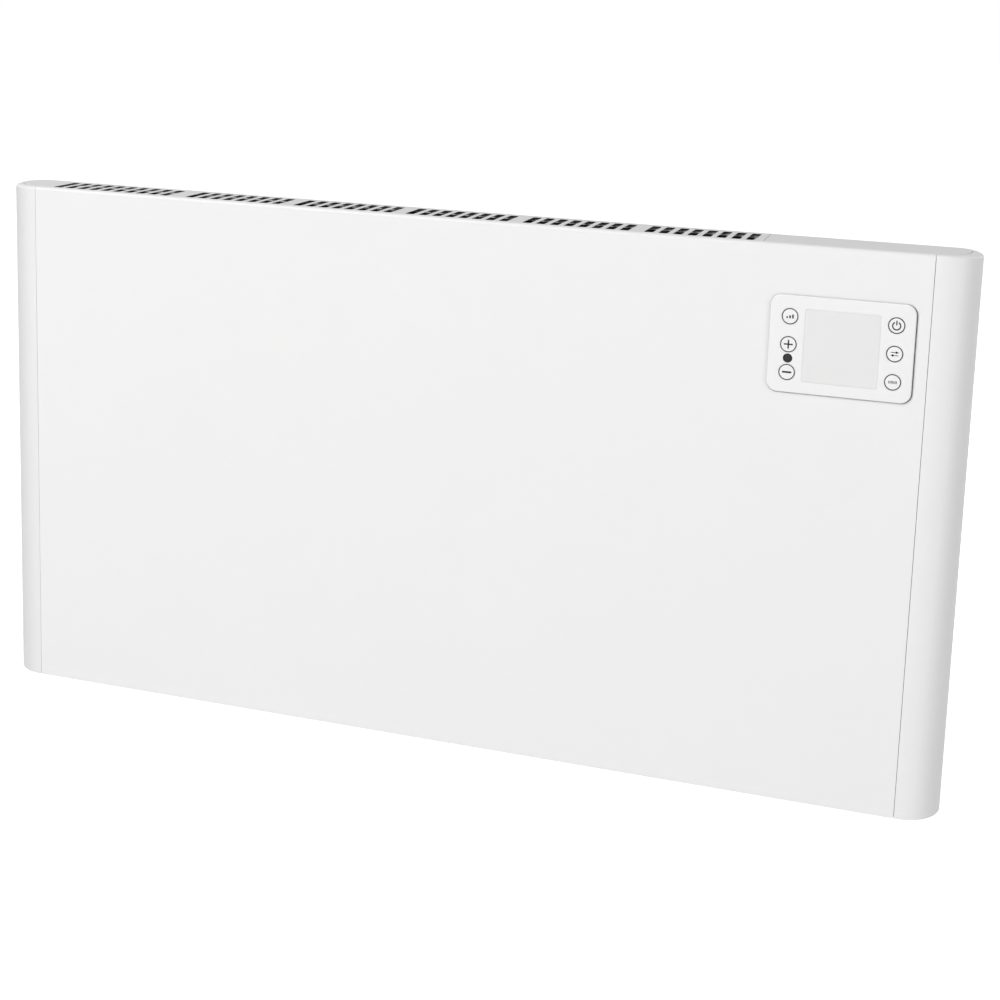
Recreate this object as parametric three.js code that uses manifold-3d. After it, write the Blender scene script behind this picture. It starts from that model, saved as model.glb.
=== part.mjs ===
// Wall panel convector heater: a slim white casing with rounded ends, a slotted air outlet along the top,
// a control fascia with a display and six push keys, and a folded steel wall bracket behind it.
// Millimetres. +X runs to the right of someone facing the heater, +Y into the wall, +Z up.
// The origin is on the wall, at the middle of the bracket's crossbar.

import * as THREE from "three";
import { mergeVertices } from "three/addons/utils/BufferGeometryUtils.js";
import Module from "manifold-3d";

// ---- Driving dimensions -------------------------------------------------------------------------------

const WIDTH = 796;
const HEIGHT = 430;
const DEPTH = 48;
const WALL_GAP = 22;

const FRONT_RADIUS = 30; // plan radius of each end's front quarter
const REAR_RADIUS = 18; // plan radius of each end's rear quarter
const EDGE_RADIUS = 3; // rolled top edge all round the casing
const END_REACH = 5; // how much further in the roll reaches at each end's tip
const SEAM_X = 366; // where the flat panels meet the end columns
const SHEET = 1; // steel panels
const WALL = 2; // moulded end columns, and the turned-down rims of the top plates
const FIT = 0.3; // gap between pieces that touch

const COVER_SEAM_X = 242; // cross seam between the outlet grille and the plain cover
const SLOT_PITCH = 10.95;
const SLOT_WIDTH = 6.9;
const SLOT_FRONT = 4.6; // from the casing's front face to the slots' front ends
const SLOT_REAR = 38.6; // and to their rear ends
const SLOT_CORNER = 1.8;
const SLOTS_PER_GROUP = [10, 8, 8, 8, 8, 8];
const FIRST_SLOT_X = -351.8;
const FIRST_GROUP_GAP = 12.4; // extra space after the first group
const GROUP_GAP = 7.9; // extra space after each other group

const FASCIA = { x: 304, z: 141, width: 106, height: 73.5, corner: 8, proud: 2, edge: 0.9 };
const DISPLAY_SIZE = 54.5;
const KEY_COLUMN_X = 38.2; // from the fascia's centre to each column of keys
const KEY_PITCH = 20.9;
const KEY_RADIUS = 6.15;
const KEY_TRAVEL = 0.8;
const RECEIVER_RADIUS = 3.4;

const ELEMENT = { x0: -318, x1: 206, y: -47, z: -118, halfDepth: 16, halfHeight: 34, fins: 14 };
const SWITCH = { x: 292, y: -46, bodyX: 22, bodyY: 13, pivotZ: -216.4, tilt: 10 };
const GLAND = { x: 338, y: -46, bore: 4.6 };
const BRACKET = {
  uprightX: 205, uprightWidth: 34, uprightHalf: 185, plate: 1.5, hookZ: [-25, 150],
  barWidth: 470, barHeight: 60, barCorner: 6,
};
const WALL_HOLES = { x: 130, keyholeZ: 8, roundZ: -18, roundRadius: 3.2, neck: 2.6, eye: 5, rise: 9 };
const HOOK = { width: 3, below: 9, turnUp: 6, play: 0.7 }; // depth under its seat, and the turned-up tip
const LIFT_OFF = 6.3; // how far the heater rises to come off its hooks

// ---- Derived places -----------------------------------------------------------------------------------

const Y_BACK = -WALL_GAP;
const Y_FRONT = -WALL_GAP - DEPTH;
const Z_TOP = HEIGHT / 2;
const Z_BOTTOM = -HEIGHT / 2;
const Y_MIDDLE = Y_FRONT + FRONT_RADIUS; // where each end's two quarters meet
const X_AXIS = new THREE.Vector3(1, 0, 0);
const Y_AXIS = new THREE.Vector3(0, 1, 0);
const Z_AXIS = new THREE.Vector3(0, 0, 1);

const LEDGE_DROP = WALL + FIT; // the plates lie flush on a ledge this far down
const FRONT_LEDGE = 4;
const REAR_LEDGE = 7;
const FLANGE = 9; // turned-in side flanges
const FLANGE_LOW = Z_BOTTOM + 6;
const FLANGE_TOP = Z_TOP - EDGE_RADIUS - 4;
const PANEL_END = SEAM_X - FIT / 2;
const COLUMN_START = SEAM_X + FIT / 2;

// ---- Finishes -----------------------------------------------------------------------------------------

function finish(colour, roughness, metalness = 0) {
  return new THREE.MeshStandardMaterial({ color: colour, roughness, metalness });
}

const WHITE_PAINT = finish(0xf2f2f2, 0.38);
const WHITE_PLASTIC = finish(0xefefef, 0.42);
const FASCIA_PLASTIC = finish(0xf4f4f4, 0.3);
const DISPLAY_GLASS = finish(0xe4e5e4, 0.15);
const BLACK_LENS = finish(0x101012, 0.12);
const ALUMINIUM = finish(0xb9bcc0, 0.35, 1);
const ZINC_STEEL = finish(0xa9acaf, 0.42, 1);
const CERAMIC = finish(0xe6dfcf, 0.6);
const BOARD_GREEN = finish(0x1f5a3a, 0.5);
const BLACK_PLASTIC = finish(0x1b1b1d, 0.5);
const GREY_PLASTIC = finish(0x6f7377, 0.5);
const PLATED_METAL = finish(0xd2bf98, 0.35, 1);

// ---- Solid helpers ------------------------------------------------------------------------------------

const wasm = await Module();
wasm.setup();

function toSolid(geometry) {
  const bare = geometry.clone();
  bare.deleteAttribute("normal");
  bare.deleteAttribute("uv");
  const merged = mergeVertices(bare, 1e-4);
  return new wasm.Manifold(
    new wasm.Mesh({
      numProp: 3,
      vertProperties: new Float32Array(merged.attributes.position.array),
      triVerts: new Uint32Array(merged.index.array),
    }),
  );
}

function toGeometry(solid) {
  const mesh = solid.getMesh();
  const geometry = new THREE.BufferGeometry();
  geometry.setAttribute("position", new THREE.BufferAttribute(mesh.vertProperties, 3));
  geometry.setIndex(new THREE.BufferAttribute(mesh.triVerts, 1));
  geometry.computeVertexNormals();
  return geometry;
}

function join(...geometries) {
  return toGeometry(geometries.map(toSolid).reduce((whole, next) => whole.add(next)));
}

function cut(body, ...tools) {
  const removed = tools.map(toSolid).reduce((whole, next) => whole.add(next));
  return toGeometry(toSolid(body).subtract(removed));
}

function box(low, high) {
  const size = high.map((value, i) => value - low[i]);
  const geometry = new THREE.BoxGeometry(...size);
  geometry.translate(...low.map((value, i) => value + size[i] / 2));
  return geometry;
}

// A cylinder along an axis direction, from one end point over a length.
function rod(radius, start, direction, length, sides = 24) {
  const geometry = new THREE.CylinderGeometry(radius, radius, length, sides);
  geometry.translate(0, length / 2, 0);
  geometry.applyQuaternion(new THREE.Quaternion().setFromUnitVectors(Y_AXIS, direction));
  geometry.translate(...start);
  return geometry;
}

// A closed (radius, distance) profile turned round a line through `start` along `direction`.
function turned(profile, start, direction, sides = 24) {
  const points = profile.map(([radius, distance]) => new THREE.Vector2(radius, distance));
  const geometry = new THREE.LatheGeometry(points, sides);
  geometry.applyQuaternion(new THREE.Quaternion().setFromUnitVectors(Y_AXIS, direction));
  geometry.translate(...start);
  return outward(geometry);
}

// Turns a closed mesh's faces outwards, whichever way its profile was drawn.
function outward(geometry) {
  const merged = mergeVertices(stripped(geometry), 1e-4);
  const position = merged.attributes.position;
  const index = merged.index.array;
  const a = new THREE.Vector3();
  const b = new THREE.Vector3();
  const c = new THREE.Vector3();
  let volume = 0;
  for (let i = 0; i < index.length; i += 3) {
    a.fromBufferAttribute(position, index[i]);
    b.fromBufferAttribute(position, index[i + 1]);
    c.fromBufferAttribute(position, index[i + 2]);
    volume += a.dot(b.cross(c));
  }
  if (volume < 0) {
    for (let i = 0; i < index.length; i += 3) {
      [index[i + 1], index[i + 2]] = [index[i + 2], index[i + 1]];
    }
  }
  merged.computeVertexNormals();
  return merged;
}

function stripped(geometry) {
  const bare = geometry.clone();
  bare.deleteAttribute("normal");
  bare.deleteAttribute("uv");
  return bare;
}

function mirroredX(geometry) {
  const copy = stripped(geometry);
  copy.scale(-1, 1, 1);
  return outward(copy);
}

function shapeOf(points) {
  return new THREE.Shape(points.map(([u, v]) => new THREE.Vector2(u, v)));
}

function extruded(shape, depth, curveSegments) {
  return new THREE.ExtrudeGeometry(shape, { depth, bevelEnabled: false, curveSegments });
}

// A (y, z) profile extruded from x0 to x1.
function extrudedAlongX(shape, x0, x1, curveSegments = 8) {
  const geometry = extruded(shape, x1 - x0, curveSegments);
  geometry.applyMatrix4(new THREE.Matrix4().makeBasis(Y_AXIS, Z_AXIS, X_AXIS));
  return geometry.translate(x0, 0, 0);
}

// An (x, z) outline extruded from y0 to y1.
function extrudedAlongY(shape, y0, y1, curveSegments = 8) {
  const geometry = extruded(shape, y1 - y0, curveSegments);
  geometry.applyMatrix4(new THREE.Matrix4().makeBasis(X_AXIS, Z_AXIS, Y_AXIS.clone().negate()));
  return geometry.translate(0, y1, 0);
}

// An (x, y) outline extruded from z0 to z1.
function extrudedAlongZ(shape, z0, z1, curveSegments = 8) {
  return extruded(shape, z1 - z0, curveSegments).translate(0, 0, z0);
}

function roundedRectangle(centreX, centreZ, width, height, radius) {
  const shape = new THREE.Shape();
  const left = centreX - width / 2 + radius;
  const right = centreX + width / 2 - radius;
  const low = centreZ - height / 2 + radius;
  const high = centreZ + height / 2 - radius;
  shape.absarc(right, low, radius, -Math.PI / 2, 0);
  shape.absarc(right, high, radius, 0, Math.PI / 2);
  shape.absarc(left, high, radius, Math.PI / 2, Math.PI);
  shape.absarc(left, low, radius, Math.PI, 1.5 * Math.PI);
  return shape;
}

// A slot with square ends and softened corners, from v0 to v1, centred on u.
function slotHole(u, v0, v1, width, corner) {
  const [u0, u1] = [u - width / 2, u + width / 2];
  const hole = new THREE.Path();
  hole.moveTo(u1, v0 + corner);
  hole.lineTo(u1, v1 - corner);
  hole.quadraticCurveTo(u1, v1, u1 - corner, v1);
  hole.lineTo(u0 + corner, v1);
  hole.quadraticCurveTo(u0, v1, u0, v1 - corner);
  hole.lineTo(u0, v0 + corner);
  hole.quadraticCurveTo(u0, v0, u0 + corner, v0);
  hole.lineTo(u1 - corner, v0);
  hole.quadraticCurveTo(u1, v0, u1, v0 + corner);
  return hole;
}

// A section of (inset, height, extra inset along x) points carried along a plan path of {x, y, nx, ny}
// stations, whose normals point into the casing. An open path gets end caps.
function carried(stations, section, closed = false) {
  const positions = [];
  for (const { x, y, nx, ny } of stations) {
    for (const [inset, z, extra = 0] of section) {
      positions.push(x + nx * (inset + extra), y + ny * inset, z);
    }
  }
  const n = section.length;
  const index = [];
  const spans = closed ? stations.length : stations.length - 1;
  for (let s = 0; s < spans; s += 1) {
    const here = s * n;
    const next = ((s + 1) % stations.length) * n;
    for (let k = 0; k < n; k += 1) {
      const l = (k + 1) % n;
      index.push(here + k, next + k, next + l, here + k, next + l, here + l);
    }
  }
  if (!closed) {
    const flat = section.map(([inset, z]) => new THREE.Vector2(inset, z));
    const last = (stations.length - 1) * n;
    const turn = THREE.ShapeUtils.isClockWise(flat) ? 1 : 0;
    for (const [a, b, c] of THREE.ShapeUtils.triangulateShape(flat, [])) {
      const [p, q] = turn ? [c, b] : [b, c];
      index.push(a, p, q, last + a, last + q, last + p);
    }
  }
  const geometry = new THREE.BufferGeometry();
  geometry.setAttribute("position", new THREE.Float32BufferAttribute(positions, 3));
  geometry.setIndex(index);
  return geometry;
}

const heater = new THREE.Group();

function place(name, geometry, material) {
  const mesh = new THREE.Mesh(geometry, material);
  mesh.name = name;
  heater.add(mesh);
}

// ---- Casing plan --------------------------------------------------------------------------------------

function arcStations(centreX, centreY, radius, from, to, steps) {
  return Array.from({ length: steps + 1 }, (_, i) => {
    const angle = from + ((to - from) * i) / steps;
    const c = Math.cos(angle);
    const s = Math.sin(angle);
    return { x: centreX + radius * c, y: centreY + radius * s, nx: -c, ny: -s };
  });
}

// The right end's outer plan, from the front seam round to the rear seam.
function endStations() {
  return [
    { x: COLUMN_START, y: Y_FRONT, nx: 0, ny: 1 },
    ...arcStations(WIDTH / 2 - FRONT_RADIUS, Y_MIDDLE, FRONT_RADIUS, -Math.PI / 2, 0, 12),
    ...arcStations(WIDTH / 2 - REAR_RADIUS, Y_MIDDLE, REAR_RADIUS, 0, Math.PI / 2, 8).slice(1),
    { x: COLUMN_START, y: Y_BACK, nx: 0, ny: -1 },
  ];
}

// A top plate's plan: the casing's plan moved in by `inset`, and by END_REACH more at the end's tip, cut
// across at x = cutX. side is 1 for the part to the right.
function planPart(inset, side, cutX) {
  const front = FRONT_RADIUS - inset;
  const rear = REAR_RADIUS - inset;
  const frontX = WIDTH / 2 - FRONT_RADIUS;
  const rearX = WIDTH / 2 - REAR_RADIUS;
  const quarter = Math.PI / 2;
  const shape = new THREE.Shape();
  if (side > 0) {
    shape.absellipse(frontX, Y_MIDDLE, front - END_REACH, front, -quarter, 0);
    shape.absellipse(rearX, Y_MIDDLE, rear - END_REACH, rear, 0, quarter);
    shape.lineTo(cutX, Y_BACK - inset);
    shape.lineTo(cutX, Y_FRONT + inset);
  } else {
    shape.absellipse(-rearX, Y_MIDDLE, rear - END_REACH, rear, quarter, 2 * quarter);
    shape.absellipse(-frontX, Y_MIDDLE, front - END_REACH, front, 2 * quarter, 3 * quarter);
    shape.lineTo(cutX, Y_FRONT + inset);
    shape.lineTo(cutX, Y_BACK - inset);
  }
  return shape;
}

// The casing's whole plan, moved in by `inset`.
function wholePlan(inset) {
  const front = FRONT_RADIUS - inset;
  const rear = REAR_RADIUS - inset;
  const frontX = WIDTH / 2 - FRONT_RADIUS;
  const rearX = WIDTH / 2 - REAR_RADIUS;
  const quarter = Math.PI / 2;
  const shape = new THREE.Shape();
  shape.absarc(frontX, Y_MIDDLE, front, -quarter, 0);
  shape.absarc(rearX, Y_MIDDLE, rear, 0, quarter);
  shape.absarc(-rearX, Y_MIDDLE, rear, quarter, 2 * quarter);
  shape.absarc(-frontX, Y_MIDDLE, front, 2 * quarter, 3 * quarter);
  return shape;
}

// ---- Casing pieces ------------------------------------------------------------------------------------

// Half of a panel's folded section, as (distance in from the outer face, z): a flat sheet, a rolled top
// edge, and a step down to the ledge that carries the top plates.
function panelSection(ledge) {
  const centreZ = Z_TOP - EDGE_RADIUS;
  const inner = EDGE_RADIUS - SHEET;
  const points = [[0, Z_BOTTOM], [0, centreZ]];
  const steps = 6;
  for (let i = 1; i <= steps; i += 1) {
    const angle = (i / steps) * (Math.PI / 2);
    points.push([EDGE_RADIUS - EDGE_RADIUS * Math.cos(angle), centreZ + EDGE_RADIUS * Math.sin(angle)]);
  }
  const ledgeTop = Z_TOP - LEDGE_DROP;
  points.push([EDGE_RADIUS, ledgeTop], [EDGE_RADIUS + ledge, ledgeTop]);
  points.push([EDGE_RADIUS + ledge, ledgeTop - SHEET], [EDGE_RADIUS - SHEET, ledgeTop - SHEET]);
  const start = Math.acos(SHEET / inner);
  for (let i = 0; i <= steps; i += 1) {
    const angle = start * (1 - i / steps);
    points.push([EDGE_RADIUS - inner * Math.cos(angle), centreZ + inner * Math.sin(angle)]);
  }
  points.push([SHEET, Z_BOTTOM]);
  return points;
}

function frontPanel() {
  const profile = panelSection(FRONT_LEDGE).map(([inset, z]) => [Y_FRONT + inset, z]);
  const sheet = extrudedAlongX(shapeOf(profile), -PANEL_END, PANEL_END);
  const flangeY = [Y_FRONT + SHEET / 2, Y_FRONT + FLANGE];
  const flanges = [-PANEL_END, PANEL_END - SHEET].map((x) =>
    box([x, flangeY[0], FLANGE_LOW], [x + SHEET, flangeY[1], FLANGE_TOP]),
  );
  const play = 2 * (FIT - BOSS_INSET);
  const opening = roundedRectangle(
    FASCIA.x, FASCIA.z, FASCIA.width + play, FASCIA.height + play, BOSS_CORNER,
  );
  const window = extrudedAlongY(opening, Y_FRONT - 1, Y_FRONT + SHEET + 1, 4);
  return cut(join(sheet, ...flanges), window);
}

function rearPanel() {
  const profile = panelSection(REAR_LEDGE).map(([inset, z]) => [Y_BACK - inset, z]);
  const sheet = outward(extrudedAlongX(shapeOf(profile), -PANEL_END, PANEL_END));
  const flangeY = [Y_BACK - FLANGE, Y_BACK - SHEET / 2];
  const flanges = [-PANEL_END, PANEL_END - SHEET].map((x) =>
    box([x, flangeY[0], FLANGE_LOW], [x + SHEET, flangeY[1], FLANGE_TOP]),
  );
  const hookSlots = hookPlaces().map(([x, z]) =>
    box(
      [x - HOOK.width / 2 - HOOK.play, Y_BACK - SHEET - 1, z - HOOK.below - LIFT_OFF - 2 * FIT],
      [x + HOOK.width / 2 + HOOK.play, Y_BACK + 1, z + FIT],
    ),
  );
  return cut(join(sheet, ...flanges), ...hookSlots);
}

// A moulded end column: the curved wall with its rolled top edge, which widens towards the tip, the
// ledge, and a screw flange inside each seam.
function endColumnRight() {
  const centreZ = Z_TOP - EDGE_RADIUS;
  const section = [[0, Z_BOTTOM], [0, centreZ]];
  const steps = 6;
  for (let i = 1; i <= steps; i += 1) {
    const angle = (i / steps) * (Math.PI / 2);
    const inward = 1 - Math.cos(angle);
    section.push([EDGE_RADIUS * inward, centreZ + EDGE_RADIUS * Math.sin(angle), END_REACH * inward]);
  }
  const ledgeTop = Z_TOP - LEDGE_DROP;
  const ledgeEnd = EDGE_RADIUS + FRONT_LEDGE;
  section.push([EDGE_RADIUS, ledgeTop, END_REACH], [ledgeEnd, ledgeTop, END_REACH]);
  section.push([ledgeEnd, ledgeTop - WALL, END_REACH], [WALL, ledgeTop - WALL], [WALL, Z_BOTTOM]);
  const wall = outward(carried(endStations(), section));
  const flanges = [
    [Y_FRONT + WALL / 2, Y_FRONT + FLANGE],
    [Y_BACK - FLANGE, Y_BACK - WALL / 2],
  ].map(([y0, y1]) => box([COLUMN_START, y0, FLANGE_LOW], [COLUMN_START + WALL, y1, FLANGE_TOP]));
  return join(wall, ...flanges);
}

function slotPositions() {
  const places = [];
  let x = FIRST_SLOT_X;
  SLOTS_PER_GROUP.forEach((count, group) => {
    for (let i = 0; i < count; i += 1) {
      places.push(x + SLOT_WIDTH / 2);
      x += SLOT_PITCH;
    }
    x += group === 0 ? FIRST_GROUP_GAP : GROUP_GAP;
  });
  return places;
}

const PLATE_INSET = EDGE_RADIUS + FIT;

const LIP = { thickness: 1.6, depth: 7, start: 16, end: 14 };

// A lip under a top plate's edge that keeps it from sliding on the ledge.
function plateLip(x0, x1, y) {
  return box([x0, y, Z_TOP - WALL - LIP.depth], [x1, y + LIP.thickness, Z_TOP - SHEET / 2]);
}

// A top plate is a sheet whose rim is turned down on to the ledges. holes are cut through the sheet.
function rimmedPlate(side, cutX, holes, curveSegments) {
  const shape = planPart(PLATE_INSET, side, cutX);
  shape.holes.push(...holes);
  const hollow = planPart(PLATE_INSET + SHEET, side, cutX + side * SHEET);
  return cut(
    extrudedAlongZ(shape, Z_TOP - WALL, Z_TOP, curveSegments),
    extrudedAlongZ(hollow, Z_TOP - WALL - 1, Z_TOP - SHEET, curveSegments),
  );
}

function topGrille() {
  const [v0, v1] = [Y_FRONT + SLOT_FRONT, Y_FRONT + SLOT_REAR];
  const holes = slotPositions().map((x) => slotHole(x, v0, v1, SLOT_WIDTH, SLOT_CORNER));
  return rimmedPlate(-1, COVER_SEAM_X - FIT / 2, holes, 3);
}

function topCover() {
  const plate = rimmedPlate(1, COVER_SEAM_X + FIT / 2, [], 6);
  const lips = [Y_FRONT + EDGE_RADIUS + FRONT_LEDGE + 1, Y_BACK - EDGE_RADIUS - REAR_LEDGE - 3].map((y) =>
    plateLip(COVER_SEAM_X + LIP.start, SEAM_X - LIP.end, y),
  );
  return join(plate, ...lips);
}

const BOTTOM_INSET = WALL + FIT;
const BOTTOM_FLANGE = { half: 350, height: 12 };
const INTAKE = {
  rows: 3, columns: 12, length: 34, width: 5, pitchX: 44, pitchY: 11, firstX: -322, middleY: Y_MIDDLE - 6,
};

// The bottom plate carries the air intake slots, the mains switch and the cable gland.
function bottomGrille() {
  const shape = wholePlan(BOTTOM_INSET);
  const plate = extrudedAlongZ(shape, Z_BOTTOM, Z_BOTTOM + SHEET, 6);
  const flanges = [Y_FRONT + BOTTOM_INSET, Y_BACK - BOTTOM_INSET - SHEET].map((y) =>
    box(
      [-BOTTOM_FLANGE.half, y, Z_BOTTOM + SHEET / 2],
      [BOTTOM_FLANGE.half, y + SHEET, Z_BOTTOM + BOTTOM_FLANGE.height],
    ),
  );
  const tools = [];
  for (let row = 0; row < INTAKE.rows; row += 1) {
    for (let column = 0; column < INTAKE.columns; column += 1) {
      const x = INTAKE.firstX + column * INTAKE.pitchX;
      const y = INTAKE.middleY + (row - (INTAKE.rows - 1) / 2) * INTAKE.pitchY;
      tools.push(intakeSlot(x, y));
    }
  }
  tools.push(
    box(
      [SWITCH.x - SWITCH.bodyX / 2 - FIT, SWITCH.y - SWITCH.bodyY / 2 - FIT, Z_BOTTOM - 1],
      [SWITCH.x + SWITCH.bodyX / 2 + FIT, SWITCH.y + SWITCH.bodyY / 2 + FIT, Z_BOTTOM + SHEET + 1],
    ),
    rod(GLAND_NECK + FIT, [GLAND.x, GLAND.y, Z_BOTTOM - 1], Z_AXIS, SHEET + 2),
  );
  return cut(join(plate, ...flanges), ...tools);
}

function intakeSlot(x, y) {
  const outline = new THREE.Shape();
  const reach = INTAKE.length / 2 - INTAKE.width / 2;
  outline.absarc(x + reach, y, INTAKE.width / 2, -Math.PI / 2, Math.PI / 2);
  outline.absarc(x - reach, y, INTAKE.width / 2, Math.PI / 2, 1.5 * Math.PI);
  return extrudedAlongZ(outline, Z_BOTTOM - 1, Z_BOTTOM + SHEET + 1, 2);
}

const DIVIDER = { foot: 14, shoulder: 8, topHalf: 10, rearFlange: 12, wireHole: 5 };

// A folded sheet partition under the cross seam: hot air stays left of it, the controls sit right of it.
function bayDivider() {
  const yNear = Y_FRONT + EDGE_RADIUS + FRONT_LEDGE + 1;
  const yTop = Y_BACK - EDGE_RADIUS - REAR_LEDGE - 1;
  const yFar = Y_BACK - SHEET - FIT;
  const [x0, x1] = [COVER_SEAM_X - SHEET / 2, COVER_SEAM_X + SHEET / 2];
  const zLow = Z_BOTTOM + DIVIDER.foot;
  const zShoulder = Z_TOP - LEDGE_DROP - DIVIDER.shoulder;
  const zTop = Z_TOP - LEDGE_DROP;
  const web = box([x0, yNear, zLow], [x1, yFar, zShoulder]);
  const neck = box([x0, yNear, zShoulder - 1], [x1, yTop, zTop - SHEET / 2]);
  const top = box(
    [COVER_SEAM_X - DIVIDER.topHalf, yNear, zTop - SHEET], [COVER_SEAM_X + DIVIDER.topHalf, yTop, zTop],
  );
  const rear = box([x0, yFar - SHEET, zLow], [COVER_SEAM_X + DIVIDER.rearFlange, yFar, zShoulder]);
  const { wireHole } = DIVIDER;
  const wire = rod(wireHole, [COVER_SEAM_X - wireHole, ELEMENT.y, ELEMENT.z], X_AXIS, 2 * wireHole, 16);
  return cut(join(web, neck, top, rear), wire);
}

// ---- Controls -----------------------------------------------------------------------------------------

const FASCIA_FRONT = Y_FRONT - FASCIA.proud;
const BOSS_INSET = 4;
const BOSS_WALL = 1.6;
const BOSS_CORNER = FASCIA.corner - 3;
const BOSS_BACK = Y_FRONT + 12;
const APERTURE_INSET = 2.5; // how far the opening behind the display window is set in from its edges
const BLOCK_BACK = FASCIA_FRONT + 4;
const KEY_ROWS = [1, 0, -1];
const KEY_SIDES = 24;

// The fascia's rounded outline as stations with inward normals, in its own (x, z) plane.
function fasciaStations() {
  const { width, height, corner } = FASCIA;
  const x = width / 2 - corner;
  const z = height / 2 - corner;
  const quarter = Math.PI / 2;
  return [[x, -z, -1], [x, z, 0], [-x, z, 1], [-x, -z, 2]].flatMap(([cx, cz, turn]) =>
    arcStations(FASCIA.x + cx, FASCIA.z + cz, corner, turn * quarter, (turn + 1) * quarter, 6),
  );
}

// A plate with a rounded front edge, from stations in the (x, z) plane. Its flat faces are closed.
function pillowPlate(stations, edge, yFront, yBack) {
  const section = [[edge, yFront]];
  const steps = 3;
  for (let i = 1; i <= steps; i += 1) {
    const angle = (i / steps) * (Math.PI / 2);
    section.push([edge - edge * Math.sin(angle), yFront + edge - edge * Math.cos(angle)]);
  }
  section.push([0, yBack]);
  const n = section.length;
  const positions = [];
  stations.forEach(({ x, y: z, nx, ny: nz }) =>
    section.forEach(([inset, y]) => positions.push(x + nx * inset, y, z + nz * inset)),
  );
  const index = [];
  for (let s = 0; s < stations.length; s += 1) {
    const here = s * n;
    const next = ((s + 1) % stations.length) * n;
    for (let k = 0; k < n - 1; k += 1) {
      index.push(here + k, next + k, next + k + 1, here + k, next + k + 1, here + k + 1);
    }
  }
  for (let s = 1; s < stations.length - 1; s += 1) {
    index.push(0, (s + 1) * n, s * n);
    index.push(n - 1, s * n + n - 1, (s + 1) * n + n - 1);
  }
  const geometry = new THREE.BufferGeometry();
  geometry.setAttribute("position", new THREE.Float32BufferAttribute(positions, 3));
  geometry.setIndex(index);
  return outward(geometry);
}

function keyPlaces() {
  const left = ["mode", "plus", "minus"];
  const right = ["power", "set", "week"];
  return [[-1, left], [1, right]].flatMap(([side, names]) =>
    names.map((name, row) => ({
      name: `key_${name}`,
      x: FASCIA.x + side * KEY_COLUMN_X,
      z: FASCIA.z + KEY_ROWS[row] * KEY_PITCH,
    })),
  );
}

const RECEIVER = { x: FASCIA.x - KEY_COLUMN_X, z: FASCIA.z - KEY_PITCH / 2 };

function controlFascia() {
  const plate = pillowPlate(fasciaStations(), FASCIA.edge, FASCIA_FRONT, Y_FRONT - FIT);
  const bossWidth = FASCIA.width - 2 * BOSS_INSET;
  const bossHeight = FASCIA.height - 2 * BOSS_INSET;
  const block = extrudedAlongY(
    roundedRectangle(FASCIA.x, FASCIA.z, bossWidth, bossHeight, BOSS_CORNER), FASCIA_FRONT + 1, BLOCK_BACK, 4,
  );
  const rim = roundedRectangle(FASCIA.x, FASCIA.z, bossWidth, bossHeight, BOSS_CORNER);
  rim.holes.push(
    roundedRectangle(
      FASCIA.x, FASCIA.z, bossWidth - 2 * BOSS_WALL, bossHeight - 2 * BOSS_WALL, BOSS_CORNER - BOSS_WALL,
    ),
  );
  const boss = extrudedAlongY(rim, BLOCK_BACK - 0.5, BOSS_BACK, 4);
  const recess = DISPLAY_SIZE + 2 * FIT;
  const aperture = DISPLAY_SIZE - 2 * APERTURE_INSET;
  const tools = [
    extrudedAlongY(
      roundedRectangle(FASCIA.x, FASCIA.z, recess, recess, 1.8), FASCIA_FRONT - 1, FASCIA_FRONT + 1.6, 2,
    ),
    extrudedAlongY(
      roundedRectangle(FASCIA.x, FASCIA.z, aperture, aperture, 1), FASCIA_FRONT, BLOCK_BACK + 1, 2,
    ),
    rod(RECEIVER_RADIUS + FIT, [RECEIVER.x, FASCIA_FRONT - 1, RECEIVER.z], Y_AXIS, 6, 24),
    ...keyPlaces().map(({ x, z }) => rod(KEY_RADIUS + FIT, [x, FASCIA_FRONT - 1, z], Y_AXIS, 6, KEY_SIDES)),
  ];
  return cut(join(plate, block, boss), ...tools);
}

function displayWindow() {
  const outline = roundedRectangle(FASCIA.x, FASCIA.z, DISPLAY_SIZE, DISPLAY_SIZE, 1.5);
  return extrudedAlongY(outline, FASCIA_FRONT + 0.1, FASCIA_FRONT + 1.3, 3);
}

const CELL = { frame: 58, frameCorner: 1.5, depth: 5.5, glass: 48.4, glassCorner: 0.8, glassProud: 1.6 };

// The display: a glass cell in a shallow frame, on the board behind the window.
function displayModule() {
  const frame = extrudedAlongY(
    roundedRectangle(FASCIA.x, FASCIA.z, CELL.frame, CELL.frame, CELL.frameCorner),
    BLOCK_BACK + FIT, BLOCK_BACK + CELL.depth, 2,
  );
  const glass = extrudedAlongY(
    roundedRectangle(FASCIA.x, FASCIA.z, CELL.glass, CELL.glass, CELL.glassCorner),
    BLOCK_BACK - CELL.glassProud, BLOCK_BACK + 1, 2,
  );
  return join(frame, glass);
}

const BOARD_FRONT = BLOCK_BACK + CELL.depth + FIT;
const BOARD = { halfWidth: 46, halfHeight: 30, thickness: 1.6 };
const SWITCH_BUTTON = 2.5; // how far a key's switch stands out of the board

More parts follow.
